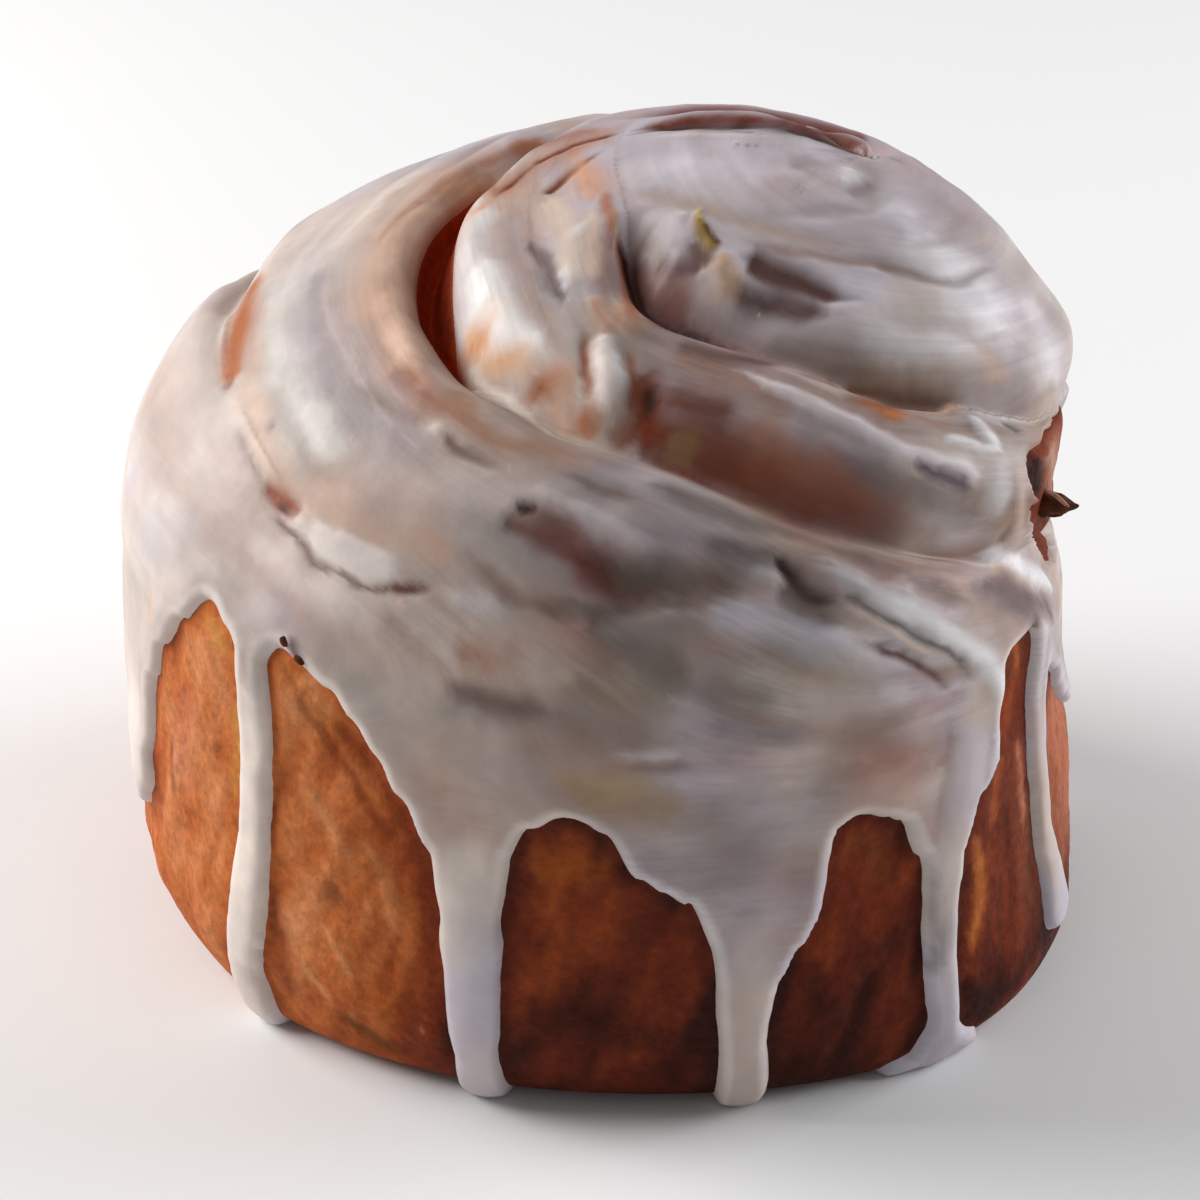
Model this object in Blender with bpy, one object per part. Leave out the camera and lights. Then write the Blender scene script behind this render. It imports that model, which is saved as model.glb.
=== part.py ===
"""Cinnamon roll: one tall bun of rolled dough with the cinnamon filling between its turns.

Metres, +Z up. The origin is the middle of the underside. +X is to the right and -Y towards the viewer
when the roll is seen with its curl at the back right. All the working below is in millimetres and is
turned into metres when the meshes are made.
"""

import math

import bpy
import numpy as np

MM = 0.001

# ---------------------------------------------------------------- driving sizes, mm
HEIGHT = 80.4  # underside to the top of the domed head
OUTLINE_R = 45.5  # mean radius of the roll seen from above
OUTLINE_2 = (2.5, -1.1)  # cos and sin of twice the angle: the roll is wider than it is deep
HEAD = (17.0, 9.0)  # highest point of the dome, seen from above
DOME_POWER = 1.72  # how flat the dome starts at its top

# sizes that change round the outline: (angle, value)
SHOULDER_Z = ((0, 38.5), (90, 50.0), (180, 40.0), (270, 41.0))
SHOULDER_ROUND = ((0, 0.32), (90, 0.61), (180, 0.41), (270, 0.62))
FOOT_Z = ((0, 4.0), (90, 10.0), (180, 9.0), (225, 10.0), (270, 8.0), (315, 7.0))
FOOT_R = ((0, 4.4), (90, 5.0), (180, 9.5), (225, 5.0), (270, 6.0), (315, 3.0))

# the turns lean: every wall between two turns runs down towards this point under the roll
APEX = (-25.0, -5.0, -120.0)
CURL = (5.6, 1.6)  # centre of the spiral in the plane of the underside

# the seam between the turns, in the plane of the underside: (turn angle in degrees, radius)
SEAM = (
    (400, 2.2), (445, 4.5), (474, 5.9), (489, 7.9), (499, 10.8), (512, 13.4), (525, 14.6), (537, 14.7), (546, 14.8),
    (556, 14.9), (564, 15.3), (576, 16.3), (582, 16.8), (587, 16.7), (596, 16.2), (607, 15.7), (618, 15.6), (630, 16.1),
    (639, 16.5), (648, 16.7), (658, 16.9), (667, 17.5), (677, 18.2), (702, 17.6), (745, 16.0), (790, 14.4), (830, 14.9),
    (861, 17.3), (872, 18.6), (885, 19.9), (891, 21.2), (898, 22.5), (906, 24.6), (911, 25.4), (916, 25.9), (922, 26.2),
    (931, 26.2), (937, 25.7), (944, 25.1), (951, 24.3), (956, 23.7), (961, 23.3), (969, 22.9), (977, 23.0), (986, 23.3),
    (1002, 23.7), (1012, 24.0), (1027, 24.9), (1041, 25.0), (1057, 24.0), (1096, 20.8), (1125, 20.2), (1155, 21.8),
    (1178, 24.8), (1200, 29.3), (1222, 34.6), (1245, 37.6), (1262, 38.1), (1272, 38.7), (1285, 38.4), (1292, 38.4),
    (1298, 38.1), (1304, 36.9), (1308, 35.7), (1314, 34.2),
)
# how deep the valley over the seam is, and how far its outer and inner sides reach
VALLEY_DEPTH = (
    (400, 1.0), (442, 3.2), (500, 3.6), (540, 3.2), (577, 4.0), (610, 3.2), (650, 3.2), (702, 3.6), (760, 4.6), (830, 5.0),
    (870, 2.8), (885, 3.6), (900, 5.6), (916, 7.4), (930, 6.2), (945, 4.4), (965, 4.0), (1000, 3.8), (1040, 4.4), (1080, 4.6), (1180, 4.6),
    (1245, 4.2), (1275, 3.6), (1298, 3.0), (1314, 0.6),
)
VALLEY_OUT = (
    (400, 2.0), (442, 3.0), (517, 4.0), (600, 5.0), (702, 7.0), (830, 7.0), (885, 5.0), (916, 5.6), (940, 6.5), (1000, 7.0),
    (1080, 7.0), (1200, 8.0), (1314, 4.0),
)
VALLEY_IN = (
    (400, 2.0), (442, 3.0), (517, 3.0), (600, 5.0), (702, 5.0), (830, 4.5), (885, 2.5), (916, 4.0), (940, 5.0), (1000, 5.5),
    (1080, 5.0), (1200, 5.5), (1314, 5.0),
)

SLOT = 1.5  # gap between two turns of dough
SLOT_FLOOR = 2.0  # the turns are baked together below this height
FILLING = 0.9  # thickness of the cinnamon layer in the gap
FILLING_FLOOR = 2.35
FILLING_DROP = 0.5  # the layer stops this far under the bottom of the valley
END_GAP = 0.35

AROUND, DOWN = 280, 210  # sampling of the body before it is reduced
BODY_TRIANGLES = 4600
SEAM_STEP = 7.0  # degrees of turn between the sections of the seam


# ---------------------------------------------------------------- small tools
def around(angle, table):
    """A value that changes smoothly round the outline, from (degrees, value) pairs."""
    k = np.array([p[0] for p in table], float)
    v = np.array([p[1] for p in table], float)
    k, v = np.append(k, k[0] + 360), np.append(v, v[0])
    a = np.degrees(angle) % 360
    a = np.where(a < k[0], a + 360, a)
    i = np.clip(np.searchsorted(k, a, side="right") - 1, 0, len(k) - 2)
    u = (a - k[i]) / (k[i + 1] - k[i])
    u = u * u * (3 - 2 * u)
    return v[i] * (1 - u) + v[i + 1] * u


def along(x, table):
    """A smooth curve through (x, value) pairs, which doesn't overshoot them."""
    k = np.array([p[0] for p in table], float)
    v = np.array([p[1] for p in table], float)
    h = np.diff(k)
    s = np.diff(v) / h
    m = np.zeros(len(k))
    same = s[:-1] * s[1:] > 0
    w1, w2 = 2 * h[1:] + h[:-1], h[1:] + 2 * h[:-1]
    with np.errstate(divide="ignore", invalid="ignore"):
        inner = (w1 + w2) / (w1 / s[:-1] + w2 / s[1:])
    m[1:-1] = np.where(same, inner, 0.0)
    x = np.clip(x, k[0], k[-1])
    i = np.clip(np.searchsorted(k, x, side="right") - 1, 0, len(k) - 2)
    u = (x - k[i]) / h[i]
    return (
        v[i] * (1 + 2 * u) * (1 - u) ** 2
        + m[i] * h[i] * u * (1 - u) ** 2
        + v[i + 1] * u * u * (3 - 2 * u)
        + m[i + 1] * h[i] * u * u * (u - 1)
    )


def outline_r(t):
    return OUTLINE_R + OUTLINE_2[0] * np.cos(2 * t) + OUTLINE_2[1] * np.sin(2 * t)


# the outline seen from the top of the dome, to find its angle there
_T = np.linspace(0, 2 * np.pi, 2881)
_RIM = np.stack([outline_r(_T) * np.cos(_T) - HEAD[0], outline_r(_T) * np.sin(_T) - HEAD[1]], -1)
_SEEN = np.unwrap(np.arctan2(_RIM[:, 1], _RIM[:, 0]))


def outline_angle(theta):
    """The outline's own angle of the point seen from the head in direction theta."""
    return np.interp((theta - _SEEN[0]) % (2 * np.pi) + _SEEN[0], _SEEN, _T)


def dome_z(x, y):
    """Height of the smooth dome over a point, or -1 outside the outline."""
    dx, dy = x - HEAD[0], y - HEAD[1]
    t = outline_angle(np.arctan2(dy, dx))
    r = outline_r(t)
    reach = np.hypot(r * np.cos(t) - HEAD[0], r * np.sin(t) - HEAD[1])
    q = np.hypot(dx, dy) / reach
    zs = around(t, SHOULDER_Z)
    z = zs + (HEIGHT - zs) * np.clip(1 - np.minimum(q, 1) ** DOME_POWER, 0, 1) ** around(t, SHOULDER_ROUND)
    return np.where(q <= 1, z, -1.0)


# ---------------------------------------------------------------- the smooth body
def smooth_body(n_around, n_down):
    """Points of the body without valleys: rows run from the head over the side to the middle of the underside."""
    theta = np.linspace(0, 2 * np.pi, n_around, endpoint=False)
    t = outline_angle(theta)
    grid = np.zeros((n_around, n_down, 3))
    head = np.array(HEAD)
    for i, ti in enumerate(t):
        r = float(outline_r(ti))
        rim = np.array([r * math.cos(ti), r * math.sin(ti)])
        zs, zf, rf = (float(around(ti, tab)) for tab in (SHOULDER_Z, FOOT_Z, FOOT_R))
        q = 1 - (1 - np.linspace(0, 1, 160)) ** 2.2
        z = zs + (HEIGHT - zs) * np.clip(1 - q**DOME_POWER, 0, 1) ** float(around(ti, SHOULDER_ROUND))
        top = np.column_stack([head + (rim - head) * q[:, None], z])
        zz = np.linspace(zs, zf, 60)[1:]
        side = np.column_stack([np.repeat(rim[None], len(zz), 0), zz])
        a = np.linspace(0, np.pi / 2, 30)[1:]
        foot = np.column_stack([rim * (1 - (rf / r) * (1 - np.cos(a)))[:, None], zf * (1 - np.sin(a))])
        under = np.column_stack([rim * ((1 - rf / r) * np.linspace(1, 0, 30)[1:])[:, None], np.zeros(29)])
        line = np.vstack([top, side, foot, under])
        s = np.concatenate([[0], np.cumsum(np.linalg.norm(np.diff(line, axis=0), axis=1))])
        for k in range(3):
            grid[i, :, k] = np.interp(np.linspace(0, s[-1], n_down), s, line[:, k])
    return grid


def steps(g):
    return (np.roll(g, -1, 0) - np.roll(g, 1, 0)) / 2, np.gradient(g, axis=1)


def normals(grid):
    dt, ds = steps(grid)
    n = np.cross(ds, dt)
    return n / np.maximum(np.linalg.norm(n, axis=-1, keepdims=True), 1e-9)


def seam_field(grid):
    """For each point, the signed distance in mm to the nearest turn of the seam (outwards positive) and its turn angle."""
    scale = -APEX[2] / (grid[..., 2] - APEX[2])
    w = np.array(APEX[:2]) + (grid[..., :2] - np.array(APEX[:2])) * scale[..., None] - np.array(CURL)
    rho = np.maximum(np.hypot(w[..., 0], w[..., 1]), 1e-6)
    phi = np.degrees(np.arctan2(w[..., 1], w[..., 0])) % 360
    wt, ws = steps(w)
    dt, ds = steps(grid)
    e, f, g = (dt * dt).sum(-1), (dt * ds).sum(-1), (ds * ds).sum(-1)
    det = np.maximum(e * g - f * f, 1e-9)
    ur = w / rho[..., None]
    up = np.stack([-ur[..., 1], ur[..., 0]], -1)
    best = np.full(rho.shape, 1e9)
    turn = np.full(rho.shape, float(SEAM[0][0]))
    for k in range(5):
        a = phi + 360 * k
        inside = (a >= SEAM[0][0] - 25) & (a <= SEAM[-1][0] + 25)
        seam = along(a, SEAM)
        slope = (along(a + 0.5, SEAM) - along(a - 0.5, SEAM)) / math.radians(1.0)
        ft = (ur * wt).sum(-1) - slope * (up * wt).sum(-1) / rho
        fs = (ur * ws).sum(-1) - slope * (up * ws).sum(-1) / rho
        grad = np.sqrt(np.maximum((g * ft * ft - 2 * f * ft * fs + e * fs * fs) / det, 1e-4))
        beyond = np.maximum(np.maximum(SEAM[0][0] - a, a - SEAM[-1][0]), 0) * np.pi / 180 * rho
        d = (rho - seam) / grad
        d = np.where(inside, np.sign(d) * np.hypot(d, beyond), 1e9)
        near = np.abs(d) < np.abs(best)
        best, turn = np.where(near, d, best), np.where(near, a, turn)
    return best, turn


def valley(d, turn):
    """Depth in mm of the valley at a signed distance from the seam."""
    depth = along(turn, VALLEY_DEPTH)
    reach = np.where(d > 0, along(turn, VALLEY_OUT), along(turn, VALLEY_IN))
    return depth * np.clip(1 - np.abs(d) / reach, 0, 1) ** 2.0


def body_points(n_around, n_down):
    grid = smooth_body(n_around, n_down)
    n = normals(grid)
    lean = np.array(APEX) - grid
    lean /= np.linalg.norm(lean, axis=-1, keepdims=True)
    a = np.clip((n[..., 2:] - 0.15) / 0.4, 0, 1)
    way = lean * a - n * (1 - a)
    way /= np.maximum(np.linalg.norm(way, axis=-1, keepdims=True), 1e-6)
    d, turn = seam_field(grid)
    upper = np.clip((grid[..., 2] - 30) / 8, 0, 1)  # no valley reaches the lower part of the side
    return grid + way * (valley(d, turn) * upper)[..., None]


# ---------------------------------------------------------------- meshes
def make_object(name, points, faces, material):
    mesh = bpy.data.meshes.new(name)
    mesh.from_pydata([tuple(p * MM) for p in points], [], faces)
    mesh.update()
    obj = bpy.data.objects.new(name, mesh)
    bpy.context.scene.collection.objects.link(obj)
    mesh.materials.append(material)
    return obj


def make_material(name, color, roughness):
    material = bpy.data.materials.new(name)
    material.use_nodes = True
    shader = material.node_tree.nodes["Principled BSDF"]
    shader.inputs["Base Color"].default_value = (*color, 1.0)
    shader.inputs["Roughness"].default_value = roughness
    shader.inputs["Metallic"].default_value = 0.0
    return material


def grid_body(grid):
    """A closed body from the rows of grid, whose first row meets in the head and whose last in the underside."""
    na, nd = grid.shape[:2]
    rows = grid[:, 1 : nd - 1].reshape(-1, 3)
    points = list(rows) + [grid[:, 0].mean(0), grid[:, -1].mean(0)]
    head, foot = len(rows), len(rows) + 1
    w = nd - 2
    faces = []
    for i in range(na):
        j = (i + 1) % na
        faces.append((head, i * w, j * w))
        for k in range(w - 1):
            faces.append((i * w + k, i * w + k + 1, j * w + k + 1, j * w + k))
        faces.append((foot, j * w + w - 1, i * w + w - 1))
    return points, faces


def seam_section(turn):
    """The seam's point in the plane of the underside and its sideways direction there."""
    def at(a):
        r = along(np.asarray(a, float), SEAM)
        return np.array([CURL[0] + r * math.cos(math.radians(a)), CURL[1] + r * math.sin(math.radians(a))])

    ahead = at(min(turn + 1.0, SEAM[-1][0])) - at(max(turn - 1.0, SEAM[0][0]))
    ahead /= np.linalg.norm(ahead)
    return at(turn), np.array([ahead[1], -ahead[0]])


def on_wall(base, side, z, offset):
    """A point of the leaning wall over a seam point, at height z, moved sideways by offset."""
    k = (z - APEX[2]) / -APEX[2]
    x, y = APEX[0] + (base[0] - APEX[0]) * k, APEX[1] + (base[1] - APEX[1]) * k
    return np.array([x + side[0] * offset, y + side[1] * offset, z])


def valley_floor(base, turn):
    """Height at which the leaning wall over a seam point comes out at the bottom of its valley."""
    low, high = 20.0, HEIGHT + 2
    for _ in range(40):
        mid = (low + high) / 2
        p = on_wall(base, (0, 0), mid, 0)
        if dome_z(p[0], p[1]) > mid:
            low = mid
        else:
            high = mid
    return low - float(along(np.asarray(turn, float), VALLEY_DEPTH)) * 0.97


def seam_sheet(start, stop, thickness, z_low, z_high):
    """A closed curved sheet along the seam. z_high is a height, or a function of the seam point and turn."""
    count = int(round((stop - start) / SEAM_STEP)) + 1
    points, faces = [], []
    for turn in np.linspace(start, stop, count):
        base, side = seam_section(turn)
        top = z_high(base, turn) if callable(z_high) else z_high
        for offset, z in ((-1, z_low), (1, z_low), (1, top), (-1, top)):
            points.append(on_wall(base, side, z, offset * thickness / 2))
    for i in range(count - 1):
        a, b = 4 * i, 4 * i + 4
        for k in range(4):
            m = (k + 1) % 4
            faces.append((a + m, a + k, b + k, b + m))
    faces.append((0, 1, 2, 3))
    end = 4 * (count - 1)
    faces.append((end + 3, end + 2, end + 1, end))
    return points, faces


# ---------------------------------------------------------------- the model
for old in list(bpy.data.objects):
    bpy.data.objects.remove(old, do_unlink=True)

crust = make_material("crust", (0.42, 0.20, 0.09), 0.6)
cinnamon = make_material("cinnamon", (0.13, 0.035, 0.012), 0.7)

points, faces = grid_body(body_points(AROUND, DOWN))
dough = make_object("dough", points, faces, crust)
reduce = dough.modifiers.new("reduce", "DECIMATE")
reduce.ratio = BODY_TRIANGLES / (2.0 * AROUND * (DOWN - 2))

first, last = SEAM[0][0], SEAM[-1][0]
points, faces = seam_sheet(first, last, SLOT, SLOT_FLOOR, HEIGHT + 12)
cutter = make_object("seam_cut", points, faces, cinnamon)
cutter.hide_render = True
cutter.display_type = "WIRE"
cut = dough.modifiers.new("seam", "BOOLEAN")
cut.operation = "DIFFERENCE"
cut.solver = "EXACT"
cut.object = cutter

# END_GAP at each end of the layer, as an angle at that radius
r_first, r_last = SEAM[0][1], SEAM[-1][1]
points, faces = seam_sheet(
    first + math.degrees(END_GAP * 1.5 / r_first), last - math.degrees(END_GAP * 1.5 / r_last), FILLING, FILLING_FLOOR,
    lambda base, turn: valley_floor(base, turn) - FILLING_DROP,
)
filling = make_object("filling", points, faces, cinnamon)

roll = bpy.data.objects.new("cinnamon_roll", None)
bpy.context.scene.collection.objects.link(roll)
for obj in (dough, filling, cutter):
    obj.parent = roll
for obj in (dough, filling):
    obj.data.shade_smooth()
    obj.data.set_sharp_from_angle(angle=math.radians(50))
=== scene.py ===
"""Looks of the cinnamon roll: browned dough, cinnamon in the valleys and a running sugar glaze, in the frame of the
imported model. Working sizes are in millimetres and turn into metres when a mesh is made. Pixel positions are those
of a 1200 x 1200 picture seen from the scene's own camera."""

import math

import bpy
import numpy as np
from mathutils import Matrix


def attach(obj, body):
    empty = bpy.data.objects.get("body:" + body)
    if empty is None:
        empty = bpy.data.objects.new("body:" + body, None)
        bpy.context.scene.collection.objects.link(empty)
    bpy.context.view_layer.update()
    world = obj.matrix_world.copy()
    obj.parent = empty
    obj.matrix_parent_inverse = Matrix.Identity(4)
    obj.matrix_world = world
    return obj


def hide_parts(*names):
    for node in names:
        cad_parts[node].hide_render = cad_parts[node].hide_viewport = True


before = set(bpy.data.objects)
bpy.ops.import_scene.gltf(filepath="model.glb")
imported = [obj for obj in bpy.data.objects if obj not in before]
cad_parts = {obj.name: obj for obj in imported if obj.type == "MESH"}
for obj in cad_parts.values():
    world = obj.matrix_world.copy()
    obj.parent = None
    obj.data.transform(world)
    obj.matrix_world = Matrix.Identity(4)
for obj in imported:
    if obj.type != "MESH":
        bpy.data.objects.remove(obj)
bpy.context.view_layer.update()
MM = 0.001

# ---------------------------------------------------------------- camera
ELEVATION = 31.0
LENS = 120.0
FRAME_WIDTH = 120.6  # mm across the picture at the aim point
AIM = np.array([-0.25, 0.0, 32.2])
_E = math.radians(ELEVATION)
BACK = np.array([0.0, -math.cos(_E), math.sin(_E)])
UP = np.array([0.0, math.sin(_E), math.cos(_E)])
DISTANCE = FRAME_WIDTH * LENS / 36.0
EYE = AIM + BACK * DISTANCE


def pixel(p):
    """Column, row and depth of points in the 1200 px picture."""
    d = p - EYE
    depth = -(d @ BACK)
    f = 1200 * LENS / 36.0
    return 600 + f * d[..., 0] / depth, 600 - f * (d @ UP) / depth, depth


# ---------------------------------------------------------------- sizes of the body, as in the solid model
HEIGHT = 80.4
OUTLINE_R = 45.5
OUTLINE_2 = (2.5, -1.1)
HEAD = (17.0, 9.0)
DOME_POWER = 1.72
SHOULDER_Z = ((0, 38.5), (90, 50.0), (180, 40.0), (270, 41.0))
SHOULDER_ROUND = ((0, 0.32), (90, 0.61), (180, 0.41), (270, 0.62))
FOOT_Z = ((0, 4.0), (90, 10.0), (180, 9.0), (225, 10.0), (270, 8.0), (315, 7.0))
FOOT_R = ((0, 4.4), (90, 5.0), (180, 9.5), (225, 5.0), (270, 6.0), (315, 3.0))
APEX = np.array([-25.0, -5.0, -120.0])
CURL = (5.6, 1.6)

SEAM = (
    (400, 2.2), (445, 4.5), (474, 5.9), (489, 7.9), (499, 10.8), (512, 13.4), (525, 14.6), (537, 14.7), (546, 14.8),
    (556, 14.9), (564, 15.3), (576, 16.3), (582, 16.8), (587, 16.7), (596, 16.2), (607, 15.7), (618, 15.6), (630, 16.1),
    (639, 16.5), (648, 16.7), (658, 16.9), (667, 17.5), (677, 18.2), (702, 17.6), (745, 16.0), (790, 14.4), (830, 14.9),
    (861, 17.3), (872, 18.6), (885, 19.9), (891, 21.2), (898, 22.5), (906, 24.6), (911, 25.4), (916, 25.9), (922, 26.2),
    (931, 26.2), (937, 25.7), (944, 25.1), (951, 24.3), (956, 23.7), (961, 23.3), (969, 22.9), (977, 23.0), (986, 23.3),
    (1002, 23.7), (1012, 24.0), (1027, 24.9), (1041, 25.0), (1057, 24.0), (1096, 20.8), (1125, 20.2), (1155, 21.8),
    (1178, 24.8), (1200, 29.3), (1222, 34.6), (1245, 37.6), (1262, 38.1), (1272, 38.7), (1285, 38.4), (1292, 38.4),
    (1298, 38.1), (1304, 36.9), (1308, 35.7), (1314, 34.2),
)
VALLEY_DEPTH = (
    (400, 1.0), (442, 3.2), (500, 3.6), (540, 3.2), (577, 4.0), (610, 3.2), (650, 3.2), (702, 3.6), (760, 4.6), (830, 5.0),
    (870, 2.8), (885, 3.6), (900, 5.6), (916, 7.4), (930, 6.2), (945, 4.4), (965, 4.0), (1000, 3.8), (1040, 4.4), (1080, 4.6), (1180, 4.6),
    (1245, 4.2), (1275, 3.6), (1298, 3.0), (1314, 0.6),
)
VALLEY_OUT = (
    (400, 2.0), (442, 3.0), (517, 4.0), (600, 5.0), (702, 7.0), (830, 7.0), (885, 5.0), (916, 5.6), (940, 6.5), (1000, 7.0),
    (1080, 7.0), (1200, 8.0), (1314, 4.0),
)
VALLEY_IN = (
    (400, 2.0), (442, 3.0), (517, 3.0), (600, 5.0), (702, 5.0), (830, 4.5), (885, 2.5), (916, 4.0), (940, 5.0), (1000, 5.5),
    (1080, 5.0), (1200, 5.5), (1314, 5.0),
)


# ---------------------------------------------------------------- small tools
def around(angle, table):
    """A value that changes smoothly round the outline, from (degrees, value) pairs."""
    k = np.array([p[0] for p in table], float)
    v = np.array([p[1] for p in table], float)
    k, v = np.append(k, k[0] + 360), np.append(v, v[0])
    a = np.degrees(angle) % 360
    a = np.where(a < k[0], a + 360, a)
    i = np.clip(np.searchsorted(k, a, side="right") - 1, 0, len(k) - 2)
    u = (a - k[i]) / (k[i + 1] - k[i])
    u = u * u * (3 - 2 * u)
    return v[i] * (1 - u) + v[i + 1] * u


def along(x, table):
    """A smooth curve through (x, value) pairs, which doesn't overshoot them."""
    k = np.array([p[0] for p in table], float)
    v = np.array([p[1] for p in table], float)
    h = np.diff(k)
    s = np.diff(v) / h
    m = np.zeros(len(k))
    same = s[:-1] * s[1:] > 0
    w1, w2 = 2 * h[1:] + h[:-1], h[1:] + 2 * h[:-1]
    with np.errstate(divide="ignore", invalid="ignore"):
        inner = (w1 + w2) / (w1 / s[:-1] + w2 / s[1:])
    m[1:-1] = np.where(same, inner, 0.0)
    x = np.clip(x, k[0], k[-1])
    i = np.clip(np.searchsorted(k, x, side="right") - 1, 0, len(k) - 2)
    u = (x - k[i]) / h[i]
    return (
        v[i] * (1 + 2 * u) * (1 - u) ** 2
        + m[i] * h[i] * u * (1 - u) ** 2
        + v[i + 1] * u * u * (3 - 2 * u)
        + m[i + 1] * h[i] * u * u * (u - 1)
    )


def smoothstep(a, b, x):
    u = np.clip((x - a) / (b - a), 0, 1)
    return u * u * (3 - 2 * u)


def mix(a, b, f):
    return a * (1 - f) + b * f


def lattice(ix, iy, iz, seed):
    """A repeatable value from -1 to 1 for each whole-number point."""
    n = (ix.astype(np.int64) * 374761393 + iy.astype(np.int64) * 668265263 + iz.astype(np.int64) * 2147483647 + seed * 974634777) & 0xFFFFFFFF
    n = ((n ^ (n >> 13)) * 1274126177) & 0xFFFFFFFF
    n = n ^ (n >> 16)
    return (n & 0xFFFF) / 32767.5 - 1.0


def noise(x, y, z=None, seed=0):
    """Smooth noise from -1 to 1 at points given in cells."""
    z = np.zeros_like(x) if z is None else z
    fx, fy, fz = np.floor(x), np.floor(y), np.floor(z)
    u, v, w = x - fx, y - fy, z - fz
    u, v, w = (t * t * t * (t * (t * 6 - 15) + 10) for t in (u, v, w))
    out = 0.0
    for dx in (0, 1):
        for dy in (0, 1):
            for dz in (0, 1):
                k = (u if dx else 1 - u) * (v if dy else 1 - v) * (w if dz else 1 - w)
                out = out + k * lattice(fx + dx, fy + dy, fz + dz, seed)
    return out


def fractal(x, y, z=None, seed=0, octaves=3, gain=0.5):
    out, amp, total = 0.0, 1.0, 0.0
    for k in range(octaves):
        f = 2.03**k
        out = out + amp * noise(x * f, y * f, None if z is None else z * f, seed + 17 * k)
        total += amp
        amp *= gain
    return out / total


# ---------------------------------------------------------------- the smooth body as a grid
AROUND, DOWN = 720, 400


def outline_r(t):
    return OUTLINE_R + OUTLINE_2[0] * np.cos(2 * t) + OUTLINE_2[1] * np.sin(2 * t)


def smooth_body():
    """Rows run from the head over the dome, the side and the foot to the middle of the underside."""
    angles = np.linspace(0, 2 * np.pi, AROUND, endpoint=False)
    grid = np.zeros((AROUND, DOWN, 3))
    head = np.array(HEAD)
    for i, ti in enumerate(angles):
        r = float(outline_r(ti))
        rim = np.array([r * math.cos(ti), r * math.sin(ti)])
        zs, zf, rf, pw = (float(around(ti, tab)) for tab in (SHOULDER_Z, FOOT_Z, FOOT_R, SHOULDER_ROUND))
        q = 1 - (1 - np.linspace(0, 1, 200)) ** 2.2
        z = zs + (HEIGHT - zs) * np.clip(1 - q**DOME_POWER, 0, 1) ** pw
        top = np.column_stack([head + (rim - head) * q[:, None], z])
        side = np.column_stack([np.repeat(rim[None], 59, 0), np.linspace(zs, zf, 60)[1:]])
        a = np.linspace(0, np.pi / 2, 30)[1:]
        foot = np.column_stack([rim * (1 - (rf / r) * (1 - np.cos(a)))[:, None], zf * (1 - np.sin(a))])
        outer = np.vstack([top, side, foot])
        s = np.concatenate([[0], np.cumsum(np.linalg.norm(np.diff(outer, axis=0), axis=1))])
        rows = DOWN - UNDER
        for k in range(3):
            grid[i, :rows, k] = np.interp(np.linspace(0, s[-1], rows), s, outer[:, k])
        inward = np.linspace(1, 0, UNDER + 1)[1:] * (1 - rf / r)
        grid[i, rows:, :2] = rim * inward[:, None]
    return grid


UNDER = 40  # rows of the underside


def steps(g):
    return (np.roll(g, -1, 0) - np.roll(g, 1, 0)) / 2, np.gradient(g, axis=1)


def normals(g):
    dt, ds = steps(g)
    n = np.cross(ds, dt)
    length = np.linalg.norm(n, axis=-1, keepdims=True)
    return np.where(length > 1e-9, n / np.maximum(length, 1e-9), np.array([0.0, 0.0, 1.0]))


BODY = smooth_body()
# the base stands out a little at the front right
_turn = np.degrees(np.arctan2(BODY[..., 1], BODY[..., 0])) % 360
_bulge = np.exp(-(((_turn - 326) / 21) ** 2)) * smoothstep(19, 5, BODY[..., 2]) * smoothstep(10, 40, np.hypot(BODY[..., 0], BODY[..., 1]))
BODY[..., :2] *= (1 + 0.034 * _bulge)[..., None]
N_BODY = normals(BODY)
N_BODY[:, 0] = (0, 0, 1)
N_BODY[:, -1] = (0, 0, -1)
_lean = APEX - BODY
_lean /= np.linalg.norm(_lean, axis=-1, keepdims=True)
_a = np.clip((N_BODY[..., 2:] - 0.15) / 0.4, 0, 1)
OUT = N_BODY * (1 - _a) - _lean * _a  # the way in which the surface is raised
OUT /= np.linalg.norm(OUT, axis=-1, keepdims=True)
AZ = np.degrees(np.arctan2(BODY[..., 1], BODY[..., 0])) % 360
Z = BODY[..., 2]

_scale = -APEX[2] / (BODY[..., 2] - APEX[2])
_W = APEX[:2] + (BODY[..., :2] - APEX[:2]) * _scale[..., None] - np.array(CURL)
RHO = np.maximum(np.hypot(_W[..., 0], _W[..., 1]), 1e-6)
PHI = np.degrees(np.arctan2(_W[..., 1], _W[..., 0])) % 360


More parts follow.
